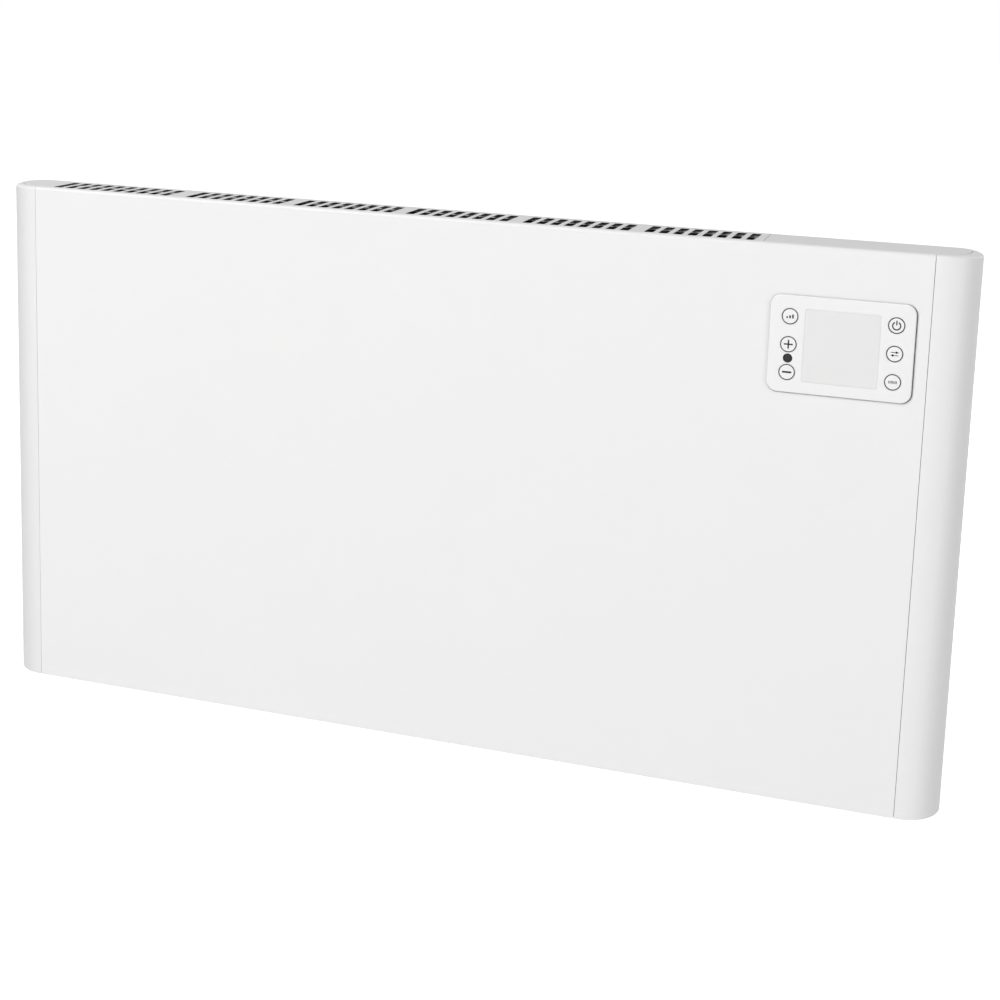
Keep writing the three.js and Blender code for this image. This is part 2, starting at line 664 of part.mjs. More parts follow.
// A round push key: a flush cap with a softened rim, a retaining collar behind the fascia, and a plunger
// that stops just short of its switch when the key is up.
function pushKey({ x, z }) {
  const proud = 0.25;
  const back = BLOCK_BACK - FASCIA_FRONT;
  const tip = BOARD_FRONT - SWITCH_BUTTON - KEY_TRAVEL - 0.1 - FASCIA_FRONT;
  const profile = [
    [0, -proud], [KEY_RADIUS - 0.5, -proud], [KEY_RADIUS - 0.12, 0], [KEY_RADIUS, 0.4],
    [KEY_RADIUS, back + FIT], [KEY_RADIUS + 0.9, back + FIT], [KEY_RADIUS + 0.9, back + FIT + 0.8],
    [2, back + FIT + 0.8], [2, tip], [0, tip],
  ];
  return turned(profile, [x, FASCIA_FRONT, z], Y_AXIS, KEY_SIDES);
}

function receiverLens() {
  const profile = [[0, -0.15], [2.6, -0.1], [RECEIVER_RADIUS, 0.3], [RECEIVER_RADIUS, 3.4], [0, 3.4]];
  return turned(profile, [RECEIVER.x, FASCIA_FRONT, RECEIVER.z], Y_AXIS, 24);
}

// The control board with the parts soldered to it: one switch behind each key, the receiver, the
// processor and a plug.
function controlBoard() {
  const back = BOARD_FRONT + BOARD.thickness;
  const sheet = box(
    [FASCIA.x - BOARD.halfWidth, BOARD_FRONT, FASCIA.z - BOARD.halfHeight],
    [FASCIA.x + BOARD.halfWidth, back, FASCIA.z + BOARD.halfHeight],
  );
  const switches = keyPlaces().flatMap(({ x, z }) => [
    box([x - 3, BOARD_FRONT - 1.9, z - 3], [x + 3, BOARD_FRONT + 0.4, z + 3]),
    rod(1.75, [x, BOARD_FRONT - SWITCH_BUTTON, z], Y_AXIS, 1.5, 12),
  ]);
  const receiver = box(
    [RECEIVER.x - 2.5, BOARD_FRONT - 3.4, RECEIVER.z - 2.5],
    [RECEIVER.x + 2.5, BOARD_FRONT + 0.4, RECEIVER.z + 2.5],
  );
  const processor = box([FASCIA.x - 18, back - 0.4, FASCIA.z - 4], [FASCIA.x - 6, back + 1.6, FASCIA.z + 8]);
  const plug = box([FASCIA.x + 8, back - 0.4, FASCIA.z - 24], [FASCIA.x + 26, back + 6, FASCIA.z - 17]);
  return join(sheet, ...switches, receiver, processor, plug);
}

// ---- Electronics bay ----------------------------------------------------------------------------------

const POWER = { x0: 256, x1: 352, z0: -60, z1: 60, standoff: 5, pillarRadius: 3, pillarInset: 6 };
const POWER_BACK = Y_BACK - SHEET - FIT - POWER.standoff;

// The power board on its four pillars, which stand on the rear panel.
function powerBoard() {
  const sheet = box([POWER.x0, POWER_BACK - BOARD.thickness, POWER.z0], [POWER.x1, POWER_BACK, POWER.z1]);
  const { pillarInset: inset, pillarRadius, standoff } = POWER;
  const pillars = [POWER.x0 + inset, POWER.x1 - inset].flatMap((x) =>
    [POWER.z0 + inset, POWER.z1 - inset].map((z) =>
      rod(pillarRadius, [x, POWER_BACK - 0.5, z], Y_AXIS, standoff + 0.5, 12),
    ),
  );
  return join(sheet, ...pillars);
}

const COMPONENT_BACK = POWER_BACK - BOARD.thickness - FIT;
const RELAY = { x0: 268, x1: 297, z0: 18, z1: 31, depth: 15.5 };
const CAPACITOR = { x: 324, z: 24, width: 28, height: 16, corner: 2, depth: 13 };
const HEAT_SINK = { x0: 264, x1: 300, z0: -14, z1: 4, base: 4, depth: 24, fins: 6, fin: 1.6, pitch: 6.6 };
const TERMINALS = {
  ways: 4, pitch: 9, x0: 306, z0: -50, z1: -32, depth: 13, mouth: 2.4, screw: 2.6, screwZ: -39,
};

function relay() {
  return box([RELAY.x0, COMPONENT_BACK - RELAY.depth, RELAY.z0], [RELAY.x1, COMPONENT_BACK, RELAY.z1]);
}

function suppressionCapacitor() {
  const { x, z, width, height, corner, depth } = CAPACITOR;
  const outline = roundedRectangle(x, z, width, height, corner);
  return extrudedAlongY(outline, COMPONENT_BACK - depth, COMPONENT_BACK, 2);
}

// A triac on its finned heat sink.
function heatSink() {
  const { x0, x1, z0, z1, base, depth, fins, fin, pitch } = HEAT_SINK;
  const front = COMPONENT_BACK - depth;
  const plate = box([x0, front, z0], [x1, COMPONENT_BACK, z0 + base]);
  const ribs = Array.from({ length: fins }, (_, i) => {
    const x = x0 + 1 + i * pitch;
    return box([x, front, z0 + base - 0.5], [x + fin, COMPONENT_BACK, z1]);
  });
  return join(plate, ...ribs);
}

// A screw terminal block with its wire mouths facing down.
function terminalBlock() {
  const { ways, pitch, x0, z0, z1, depth, mouth, screw, screwZ } = TERMINALS;
  const body = box([x0, COMPONENT_BACK - depth, z0], [x0 + ways * pitch, COMPONENT_BACK, z1]);
  const centres = Array.from({ length: ways }, (_, i) => x0 + (i + 0.5) * pitch);
  const mouths = centres.map((x) => rod(mouth, [x, COMPONENT_BACK - depth / 2, z0 - 1], Z_AXIS, 9, 12));
  const screws = centres.map((x) => rod(screw, [x, COMPONENT_BACK - depth - 1, screwZ], Y_AXIS, 4, 12));
  return cut(body, ...mouths, ...screws);
}

const ROCKER_RADIUS = 9;
const ROCKER_HALF_WIDTH = 4.6;
const ROCKER_PLAY = 0.4;
const PIN = { radius: 1.5, half: 5.7 };
const BEZEL = { overX: 5, overY: 4, corner: 2, thickness: 2 };
const TAB = { halfWidth: 2.4, halfThickness: 0.4, reach: 24, places: [-6.5, 0, 6.5] };
const BODY_HEIGHT = 16;

// The mains switch's housing: a bezel under the bottom plate, a body above it, and a round pocket in
// which the rocker turns.
function switchHousing() {
  const { x, y, bodyX, bodyY, pivotZ } = SWITCH;
  const bezel = extrudedAlongZ(
    roundedRectangle(x, y, bodyX + BEZEL.overX, bodyY + BEZEL.overY, BEZEL.corner),
    Z_BOTTOM - FIT - BEZEL.thickness, Z_BOTTOM - FIT, 3,
  );
  const body = box(
    [x - bodyX / 2, y - bodyY / 2, Z_BOTTOM - 1], [x + bodyX / 2, y + bodyY / 2, Z_BOTTOM + BODY_HEIGHT],
  );
  const tabs = TAB.places.map((dx) =>
    box(
      [x + dx - TAB.halfThickness, y - TAB.halfWidth, Z_BOTTOM + BODY_HEIGHT - 1],
      [x + dx + TAB.halfThickness, y + TAB.halfWidth, Z_BOTTOM + TAB.reach],
    ),
  );
  const radius = ROCKER_RADIUS + ROCKER_PLAY;
  const half = ROCKER_HALF_WIDTH + FIT;
  const pocket = rod(radius, [x, y - half, pivotZ], Y_AXIS, 2 * half, 48);
  const mouth = box([x - radius, y - half, Z_BOTTOM - ROCKER_RADIUS], [x + radius, y + half, pivotZ]);
  const pinHole = rod(
    PIN.radius + ROCKER_PLAY, [x, y - PIN.half - FIT, pivotZ], Y_AXIS, 2 * (PIN.half + FIT), 16,
  );
  return cut(join(bezel, body, ...tabs), pocket, mouth, pinHole);
}

// The rocker: a round barrel whose outer side is two flats that meet at its middle, tilted to "on".
function switchRocker() {
  const { x, y, pivotZ, tilt } = SWITCH;
  const halfAngle = THREE.MathUtils.degToRad(tilt);
  const outline = new THREE.Shape();
  outline.absarc(0, 0, ROCKER_RADIUS, -halfAngle * 0.6, Math.PI + halfAngle * 0.6);
  outline.lineTo(0, -1.2);
  const barrel = extrudedAlongY(outline, -ROCKER_HALF_WIDTH, ROCKER_HALF_WIDTH, 12);
  const pin = rod(PIN.radius, [0, -PIN.half, 0], Y_AXIS, 2 * PIN.half, 16);
  const rocker = join(barrel, pin);
  rocker.rotateY(halfAngle);
  return rocker.translate(x, y, pivotZ);
}

const GLAND_NECK = 7.4;

// The mains lead's gland, with its bore open from end to end.
function cableGland() {
  const wide = GLAND_NECK + 3;
  const profile = [
    [GLAND.bore, 0], [GLAND.bore + 1.6, 0], [wide - 1, 2], [wide, 3], [wide, 6.7], [GLAND_NECK, 6.7],
    [GLAND_NECK, 17], [GLAND_NECK - 1.2, 18], [GLAND.bore, 18], [GLAND.bore, 0],
  ];
  return turned(profile, [GLAND.x, GLAND.y, Z_BOTTOM - 7], Z_AXIS, 24);
}

// ---- Heating ------------------------------------------------------------------------------------------

const HUB_RADIUS = 6.5;
const FIN_HALF = 0.8;

// The finned aluminium profile, as long fins round a hub, tallest towards the top and bottom.
function heatingElement() {
  const { x0, x1, y, z, halfDepth, halfHeight, fins } = ELEMENT;
  const points = [];
  const at = (angle, side, reach) => [
    y + reach * Math.cos(angle) - side * FIN_HALF * Math.sin(angle),
    z + reach * Math.sin(angle) + side * FIN_HALF * Math.cos(angle),
  ];
  for (let i = 0; i < fins; i += 1) {
    const angle = ((i + 0.5) / fins) * 2 * Math.PI;
    const reach = 1 / Math.hypot(Math.cos(angle) / halfDepth, Math.sin(angle) / halfHeight);
    points.push(at(angle, -1, HUB_RADIUS), at(angle, -1, reach));
    points.push(at(angle, 1, reach), at(angle, 1, HUB_RADIUS));
  }
  return extrudedAlongX(shapeOf(points), x0, x1);
}

const CORE_RADIUS = 4.6;

// A ceramic end plug with its terminal, shaped for the left end and turned round for the right one.
function elementPlug(side) {
  const start = side > 0 ? ELEMENT.x1 + FIT : ELEMENT.x0 - FIT;
  const profile = [
    [0, 0], [HUB_RADIUS, 0], [HUB_RADIUS, 4], [CORE_RADIUS, 5], [CORE_RADIUS, 15], [3, 16.5], [1.6, 16.5],
    [1.6, 23], [0, 23],
  ];
  return turned(profile, [start, ELEMENT.y, ELEMENT.z], X_AXIS.clone().multiplyScalar(side), 20);
}

const ELEMENT_BRACKET = { plate: 1.2, halfHeight: 18, nose: 12, foot: 12, away: 8 };

// A folded steel bracket: an upright plate that the plug's neck passes through, and a foot on the rear
// panel.
function elementBracket(side) {
  const { plate, halfHeight, nose, foot: reach, away } = ELEMENT_BRACKET;
  const x = side > 0 ? ELEMENT.x1 + away : ELEMENT.x0 - away;
  const back = Y_BACK - SHEET - FIT;
  const [x0, x1] = [x - plate / 2, x + plate / 2];
  const [z0, z1] = [ELEMENT.z - halfHeight, ELEMENT.z + halfHeight];
  const upright = box([x0, ELEMENT.y - nose, z0], [x1, back, z1]);
  const foot = side > 0
    ? box([x0, back - plate, z0], [x1 + reach, back, z1])
    : box([x0 - reach, back - plate, z0], [x1, back, z1]);
  const hole = rod(CORE_RADIUS + FIT, [x - 3, ELEMENT.y, ELEMENT.z], X_AXIS, 6, 20);
  return cut(join(upright, foot), hole);
}

const REFLECTOR = { off: 1.2, t: 0.8, half: 62, lip: 9, inset: 8 };

// A bright sheet behind the element, with both long edges bent forwards.
function reflector() {
  const { off, t, half, lip, inset } = REFLECTOR;
  const back = Y_BACK - SHEET - off;
  const profile = [
    [back, -half], [back, half], [back - lip, half + lip], [back - lip - t, half + lip - t],
    [back - t, half - t / 2], [back - t, -half + t / 2], [back - lip - t, -half - lip + t],
    [back - lip, -half - lip],
  ].map(([y, z]) => [y, z + ELEMENT.z]);
  return outward(extrudedAlongX(shapeOf(profile), ELEMENT.x0 + inset, ELEMENT.x1 - inset));
}

const CUTOUT = { x: 120, z: ELEMENT.z + 50 };

// The overheat cut-out: a round bimetal switch with two tabs, on a strip over the reflector.
function thermalCutout() {
  const back = Y_BACK - SHEET - 2.4;
  const strip = box([CUTOUT.x - 13, back - 0.8, CUTOUT.z - 5], [CUTOUT.x + 13, back, CUTOUT.z + 5]);
  const can = turned(
    [[0, 0], [7.8, 0], [7.8, 1.4], [6.6, 1.6], [6.6, 9], [0, 9]],
    [CUTOUT.x, back - 0.5, CUTOUT.z], Y_AXIS.clone().negate(), 24,
  );
  const tabs = [-6, 6].map((dx) =>
    box([CUTOUT.x + dx - 0.4, back - 14, CUTOUT.z - 2.4], [CUTOUT.x + dx + 0.4, back - 6, CUTOUT.z + 2.4]),
  );
  return join(strip, can, ...tabs);
}

// The room sensor's clip stands on the bottom plate in the incoming air and holds the sensor bead.
const SENSOR = { x: 228, y: -46, z: Z_BOTTOM + SHEET + FIT };

function sensorClip() {
  const foot = box([SENSOR.x - 5, SENSOR.y - 6, SENSOR.z], [SENSOR.x + 5, SENSOR.y + 6, SENSOR.z + 2]);
  const arms = [-1, 1].map((side) =>
    box(
      [SENSOR.x - 4, SENSOR.y + side * 3.6 - 0.9, SENSOR.z + 1],
      [SENSOR.x + 4, SENSOR.y + side * 3.6 + 0.9, SENSOR.z + 12],
    ),
  );
  return join(foot, ...arms);
}

function roomSensor() {
  const profile = [[0, 0], [1.6, 0.4], [2.3, 1.6], [2.3, 9.5], [1, 10.5], [1, 13], [0, 13]];
  return turned(profile, [SENSOR.x, SENSOR.y, SENSOR.z + 2.4], Z_AXIS, 16);
}

// ---- Wall bracket -------------------------------------------------------------------------------------

function hookPlaces() {
  return [-1, 1].flatMap((side) => BRACKET.hookZ.map((z) => [side * BRACKET.uprightX, z]));
}

// A folded upright: a base strip, two side flanges, and two hooks that reach through the rear panel and
// turn up behind it.
function bracketUpright(side) {
  const { uprightX, uprightWidth, uprightHalf, plate, hookZ } = BRACKET;
  const x = side * uprightX;
  const yWall = -plate - FIT;
  const yFront = Y_BACK + FIT;
  const yTip = Y_BACK - SHEET - FIT - 3;
  const half = uprightWidth / 2;
  const base = box([x - half, yWall - plate, -uprightHalf], [x + half, yWall, uprightHalf]);
  const sides = [x - half, x + half - plate].map((x0) =>
    box([x0, yFront, -uprightHalf], [x0 + plate, yWall, uprightHalf]),
  );
  const hooks = hookZ.flatMap((z) => [
    box([x - HOOK.width / 2, yTip, z - HOOK.below], [x + HOOK.width / 2, yWall - plate / 2, z]),
    box([x - HOOK.width / 2, yTip, z - HOOK.below], [x + HOOK.width / 2, yTip + 3, z + HOOK.turnUp]),
  ]);
  return join(base, ...sides, ...hooks);
}

// The crossbar lies on the wall and carries both uprights. Two keyholes and two round holes take the
// wall screws.
function bracketCrossbar() {
  const { barWidth, barHeight, barCorner, plate } = BRACKET;
  const outline = roundedRectangle(0, 0, barWidth, barHeight, barCorner);
  [-WALL_HOLES.x, WALL_HOLES.x].forEach((x) => {
    const round = new THREE.Path().absarc(x, WALL_HOLES.roundZ, WALL_HOLES.roundRadius, 0, 2 * Math.PI);
    outline.holes.push(keyhole(x, WALL_HOLES.keyholeZ), round);
  });
  return extrudedAlongY(outline, -plate, 0, 6);
}

function keyhole(x, z) {
  const hole = new THREE.Path();
  const { neck, eye, rise } = WALL_HOLES;
  const meet = Math.asin(neck / eye);
  hole.absarc(x, z + rise, neck, 0, Math.PI);
  hole.absarc(x, z, eye, Math.PI / 2 + meet, 2.5 * Math.PI - meet);
  return hole;
}

// ---- Assembly -----------------------------------------------------------------------------------------

place("front_panel", frontPanel(), WHITE_PAINT);
place("rear_panel", rearPanel(), WHITE_PAINT);
place("end_column_right", endColumnRight(), WHITE_PLASTIC);
place("end_column_left", mirroredX(endColumnRight()), WHITE_PLASTIC);
place("top_grille", topGrille(), WHITE_PLASTIC);
place("top_cover", topCover(), WHITE_PLASTIC);
place("bottom_grille", bottomGrille(), WHITE_PAINT);
place("bay_divider", bayDivider(), ZINC_STEEL);

place("control_fascia", controlFascia(), FASCIA_PLASTIC);
place("display_window", displayWindow(), DISPLAY_GLASS);
place("display_module", displayModule(), GREY_PLASTIC);
place("receiver_lens", receiverLens(), BLACK_LENS);
place("control_board", controlBoard(), BOARD_GREEN);
keyPlaces().forEach((key) => place(key.name, pushKey(key), FASCIA_PLASTIC));

place("power_board", powerBoard(), BOARD_GREEN);
place("relay", relay(), BLACK_PLASTIC);
place("suppression_capacitor", suppressionCapacitor(), GREY_PLASTIC);
place("heat_sink", heatSink(), ALUMINIUM);
place("terminal_block", terminalBlock(), WHITE_PLASTIC);
place("switch_housing", switchHousing(), BLACK_PLASTIC);
place("switch_rocker", switchRocker(), BLACK_PLASTIC);
place("cable_gland", cableGland(), BLACK_PLASTIC);

place("heating_element", heatingElement(), ALUMINIUM);
place("reflector", reflector(), ALUMINIUM);
[["left", -1], ["right", 1]].forEach(([name, side]) => {
  place(`element_plug_${name}`, elementPlug(side), CERAMIC);
  place(`element_bracket_${name}`, elementBracket(side), ZINC_STEEL);
  place(`bracket_upright_${name}`, bracketUpright(side), ZINC_STEEL);
});
place("thermal_cutout", thermalCutout(), PLATED_METAL);
place("sensor_clip", sensorClip(), BLACK_PLASTIC);
place("room_sensor", roomSensor(), BLACK_PLASTIC);
place("bracket_crossbar", bracketCrossbar(), ZINC_STEEL);

export default heater;
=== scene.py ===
"""Wall panel convector heater: detailed pieces, finishes and stage, built round the packed part.

Metres throughout, in the part's own frame: +X to the right of someone facing the heater, +Y into the wall,
+Z up, with the origin on the wall at the middle of the bracket's crossbar.
"""

import math
from operator import attrgetter

import bmesh
import bpy
from bpy.props import FloatProperty, FloatVectorProperty, PointerProperty
from mathutils import Euler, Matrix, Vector


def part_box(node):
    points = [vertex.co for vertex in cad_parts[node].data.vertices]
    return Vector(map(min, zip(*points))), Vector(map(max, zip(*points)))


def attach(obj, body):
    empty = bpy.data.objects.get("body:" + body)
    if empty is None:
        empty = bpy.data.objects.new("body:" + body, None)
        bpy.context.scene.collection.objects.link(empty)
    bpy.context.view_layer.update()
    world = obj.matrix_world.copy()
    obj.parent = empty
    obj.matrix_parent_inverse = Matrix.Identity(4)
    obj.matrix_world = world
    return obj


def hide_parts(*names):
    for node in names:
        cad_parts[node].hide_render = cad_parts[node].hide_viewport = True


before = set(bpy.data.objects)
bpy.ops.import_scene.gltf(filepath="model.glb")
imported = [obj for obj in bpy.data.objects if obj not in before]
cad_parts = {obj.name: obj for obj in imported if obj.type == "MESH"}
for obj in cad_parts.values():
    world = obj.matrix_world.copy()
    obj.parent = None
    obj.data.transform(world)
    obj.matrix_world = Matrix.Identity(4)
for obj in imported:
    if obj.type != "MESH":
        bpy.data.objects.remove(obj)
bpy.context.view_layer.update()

bl_info = {
    "name": "Wall panel convector",
    "version": (1, 0, 0),
    "blender": (4, 5, 0),
    "location": "View3D > Sidebar > Heater",
    "description": "Builds the detailed pieces, finishes and stage of a wall panel convector heater",
    "category": "Object",
}

# ---- Sizes that follow the packed part ----

MM = 0.001
QUARTER = math.pi / 2
X, Y, Z = Vector((1, 0, 0)), Vector((0, 1, 0)), Vector((0, 0, 1))

COLUMN_LOW, COLUMN_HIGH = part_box("end_column_right")
FRONT_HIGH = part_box("front_panel")[1]
COVER_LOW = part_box("top_cover")[0]
FASCIA_LOW, FASCIA_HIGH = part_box("control_fascia")
PANE_LOW, PANE_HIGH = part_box("display_window")

HALF_WIDTH = COLUMN_HIGH.x
Y_FRONT = COLUMN_LOW.y
Y_BACK = COLUMN_HIGH.y
Z_TOP = COLUMN_HIGH.z
Z_BOTTOM = COLUMN_LOW.z
FIT = 0.3 * MM
PANEL_END = FRONT_HIGH.x
SEAM = PANEL_END + FIT / 2
COVER_SEAM = COVER_LOW.x - FIT / 2
Y_MIDDLE = Y_FRONT + 30 * MM
LEDGE_TOP = Z_TOP - 2.3 * MM
FRONT_LEDGE = 4 * MM
REAR_LEDGE = 7 * MM
PLATE = 2 * MM
FASCIA_CENTRE = (FASCIA_LOW + FASCIA_HIGH) / 2
FASCIA_FRONT = Y_FRONT - 2 * MM

HAIR = 0.01 * MM  # how far past a plane a vertex has to lie to count as beyond it
MERGE = 0.002 * MM
# Inside this skin the panels take a dark colour: a primer that is darkened to stand in for painted shade
# inside the casing
SKIN = 0.6 * MM  # depth of the white coat on the panels, before the primer
PANEL_RETURN, COLUMN_RETURN = 9 * MM, 7 * MM
WINDOW_INSET = 3.7 * MM  # from the fascia's outline to the panel's window
PLATE_INSET = 3.3 * MM
PLATE_RIM = 1 * MM
LARGEST_RIM = 0.002  # square metres: the rim's underside is smaller, and the plate's is larger
SLOTS_PER_GROUP = (10, 8, 8, 8, 8, 8)
BOTTOM_FLANGE = 350 * MM
INTAKE = {
    "columns": 12, "rows": 3, "pitch_x": 44 * MM, "pitch_y": 11 * MM, "first_x": -322 * MM, "y": -46 * MM,
}
HOOK_X = 205 * MM
HOOK_HEIGHTS = (-25 * MM, 150 * MM)
SWITCH_X, SWITCH_Y = 292 * MM, -46 * MM
GLAND_X = 338 * MM


# ---- Settings ----


def length(name, description, default):
    return FloatProperty(
        name=name, description=description, default=default * MM, min=0.0, max=1.0,
        unit="LENGTH", subtype="DISTANCE",
    )


def colour(name, description, default):
    return FloatVectorProperty(
        name=name, description=description, default=(*default, 1.0), size=4, min=0.0, max=1.0, subtype="COLOR"
    )


class CasingSettings(bpy.types.PropertyGroup):
    front_radius: length("Front radius", "Plan radius of each end's front quarter", 30)
    rear_radius: length("Rear radius", "Plan radius of each end's rear quarter", 18)
    edge_radius: length("Edge radius", "Radius of the rolled top edge", 3)
    end_reach: length("End reach", "How much further in the roll reaches at each end's tip", 5)
    sheet: length("Sheet", "Thickness of the steel panels", 1)
    plate_sheet: length("Plate sheet", "Thickness of the top plates inside their rims", 0.5)
    wall: length("Wall", "Thickness of the moulded end columns", 2)
    paint: colour("Paint", "Powder coat of the steel panels", (0.875, 0.875, 0.872))
    moulding: colour("Moulding", "Plastic of the end columns", (0.865, 0.865, 0.862))
    # Dark inside colour: a primer on the panels that also stands in for the shade inside the casing; painted
    # shade on the top plates' undersides and slot walls
    primer_and_shade: colour("Primer", "Coat of the panels' inner faces", (0.07, 0.07, 0.072))
    plates: colour("Top plates", "Plastic of the outlet plate and the controls cover", (0.9, 0.9, 0.898))


class OutletSettings(bpy.types.PropertyGroup):
    slot_width: length("Slot width", "Width of an outlet slot", 6.9)
    slot_pitch: length("Slot pitch", "Distance from slot to slot", 10.95)
    slot_front: length("Slot front", "From the casing's front face to the slots' front ends", 4.6)
    slot_rear: length("Slot rear", "From the casing's front face to the slots' rear ends", 38.6)
    slot_corner: length("Slot corner", "Corner radius of an outlet slot", 1.6)
    first_slot: FloatProperty(
        name="First slot", description="Left side of the first slot", default=-351.8 * MM
    )
    first_gap: length("First gap", "Extra space after the first group of slots", 12.4)
    gap: length("Gap", "Extra space after each other group of slots", 7.9)
    intake_length: length("Intake slot length", "Length of a slot in the bottom plate", 34)
    intake_width: length("Intake slot width", "Width of a slot in the bottom plate", 5)


class ControlSettings(bpy.types.PropertyGroup):
    key_radius: length("Key radius", "Radius of a push key's cap", 6.15)
    ring_width: length("Ring width", "Width of the ring printed round each key", 0.72)
    stroke: length("Stroke", "Line width of the signs on the keys", 1.1)
    fascia: colour("Fascia", "Plastic of the control fascia and the key caps", (0.875, 0.875, 0.873))
    display: colour("Display", "Face of the display when it is off", (0.8, 0.8, 0.797))
    ink: colour("Ink", "Print on the keys", (0.03, 0.03, 0.032))


def level(name, description, default):
    return FloatProperty(name=name, description=description, default=default, min=0.0, max=2.0)


class StageSettings(bpy.types.PropertyGroup):
    ambient: level("Ambient", "Even light from all round, where 1 shows white as white", 0.28)
    left_light: level("Left light", "What the high softbox at the left gives a face that looks at it", 0.5)
    front_light: level("Front light", "What the softbox in front gives a face that looks at it", 0.12)
    right_light: level("Right light", "What the softbox at the right gives a face that looks at it", 0.2)
    rear_light: level("Rear light", "What the softbox at the right rear gives a face that looks at it", 0.15)
    hang: length("Hanging height", "Height of the casing's bottom above the floor", 150)
    floor: colour("Floor", "Colour of the floor", (0.8, 0.8, 0.8))
    lift: level("Floor lift", "How much brighter the floor is shown than it lights the object", 0.88)


# ---- Modelling helpers ----


def select_only(*pieces):
    bpy.ops.object.select_all(action="DESELECT")
    for piece in pieces:
        piece.select_set(True)
    bpy.context.view_layer.objects.active = pieces[0]


def added(kind, name, centre, scale=(1, 1, 1), turn=(0, 0, 0), **options):
    """A primitive at its place, with its transform applied so that its mesh holds that place."""
    bpy.ops.object.select_all(action="DESELECT")
    getattr(bpy.ops.mesh, f"primitive_{kind}_add")(location=centre, rotation=turn, **options)
    piece = bpy.context.object
    piece.name = name
    piece.scale = scale
    bpy.ops.object.transform_apply(location=True, rotation=True, scale=True)
    return piece


def block(name, low, high):
    low, high = Vector(low), Vector(high)
    return added("cube", name, (low + high) / 2, high - low, size=1)


class shaping:
    """Edit mode on one piece, for as long as the with block lasts."""

    def __init__(self, piece):
        self.piece = piece

    def __enter__(self):
        select_only(self.piece)
        bpy.ops.object.mode_set(mode="EDIT")
        bpy.ops.mesh.select_mode(type="VERT")
        select_everything()

    def __exit__(self, *_):
        bpy.ops.object.mode_set(mode="OBJECT")


def near(a, b, slack=0.02 * MM):
    return abs(a - b) < slack


def select_everything():
    bpy.ops.mesh.select_all(action="SELECT")


def select_parts(kind, parts_of):
    """Selects the parts that the function finds in the mesh, and nothing else."""
    bpy.ops.mesh.select_mode(type=kind)
    bpy.ops.mesh.select_all(action="DESELECT")
    mesh = bmesh.from_edit_mesh(bpy.context.object.data)
    chosen = parts_of(mesh)
    if not chosen:
        raise RuntimeError(f"nothing was picked on {bpy.context.object.name}")
    for part in chosen:
        part.select_set(True)
    bmesh.update_edit_mesh(bpy.context.object.data)


def pick(kind, test):
    """Selects the vertices, edges or faces all of whose vertices pass the test."""
    if kind == "VERT":
        select_parts(kind, lambda mesh: [v for v in mesh.verts if test(v.co)])
    else:
        group = "edges" if kind == "EDGE" else "faces"
        select_parts(kind, lambda mesh: [p for p in getattr(mesh, group) if all(test(v.co) for v in p.verts)])


def pick_centres(test, largest=1.0):
    """Selects the faces whose centre passes the test and whose area is below the largest."""
    select_parts(
        "FACE",
        lambda mesh: [f for f in mesh.faces if test(f.calc_center_median()) and f.calc_area() < largest],
    )


def round_corners(radius, steps):
    """Rounds the selected corners of a flat outline."""
    bpy.ops.mesh.bevel(
        offset=radius, offset_type="OFFSET", segments=steps, affect="VERTICES", clamp_overlap=False
    )


def round_edges(radius, steps):
    bpy.ops.mesh.bevel(offset=radius, segments=steps, affect="EDGES")


def extrude(*steps):
    for step in steps:
        bpy.ops.mesh.extrude_region_move(TRANSFORM_OT_translate={"value": tuple(step)})


def spin(centre, axis, angle, steps):
    """Carries what is selected round the axis, right-handed (the operator itself turns left-handed)."""
    bpy.ops.mesh.spin(steps=steps, angle=-angle, center=tuple(centre), axis=tuple(axis))


def divide(*cuts):
    """Cuts the whole mesh along planes, each given as a point and a normal."""
    for point, normal in cuts:
        select_everything()
        bpy.ops.mesh.bisect(plane_co=tuple(point), plane_no=tuple(normal), threshold=HAIR / 10)


def tidy_mesh():
    select_everything()
    bpy.ops.mesh.remove_doubles(threshold=MERGE)
    bpy.ops.mesh.normals_make_consistent(inside=False)


def face_towards(direction, test):
    """Turns an open sheet over if its faces that pass the test look away from the direction."""
    select_everything()
    bpy.ops.mesh.normals_make_consistent(inside=False)
    mesh = bmesh.from_edit_mesh(bpy.context.object.data)
    look = sum(f.calc_area() * f.normal.dot(direction) for f in mesh.faces if test(f.calc_center_median()))
    if look < 0:
        bpy.ops.mesh.flip_normals()


def modify(piece, kind, **values):
    select_only(piece)
    modifier = piece.modifiers.new(kind.title(), kind)
    for name, value in values.items():
        setattr(modifier, name, value)
    bpy.ops.object.modifier_apply(modifier=modifier.name)


def thicken(piece, thickness):
    modify(piece, "SOLIDIFY", thickness=thickness, offset=-1.0, use_even_offset=True)


def repeat(piece, count, step):
    modify(
        piece, "ARRAY", count=count, use_relative_offset=False, use_constant_offset=True,
        constant_offset_displace=step,
    )


def carve(piece, *cutters):
    """Takes the cutters away from the piece, then removes them."""
    tool = joined("cutter", *cutters)
    modify(piece, "BOOLEAN", operation="DIFFERENCE", solver="EXACT", use_self=True, object=tool)
    bpy.data.objects.remove(tool)


def fuse(piece, *others):
    """Unites the others with the piece, then removes them."""
    for other in others:
        modify(piece, "BOOLEAN", operation="UNION", solver="EXACT", use_self=True, object=other)
        bpy.data.objects.remove(other)


def joined(name, *pieces):
    select_only(*pieces)
    if len(pieces) > 1:
        bpy.ops.object.join()
    bpy.context.object.name = name
    return bpy.context.object


def soften(piece, width, segments=2, angle=40):
    modify(
        piece, "BEVEL", width=width, segments=segments, limit_method="ANGLE",
        angle_limit=math.radians(angle), use_clamp_overlap=True, miter_outer="MITER_ARC",
    )


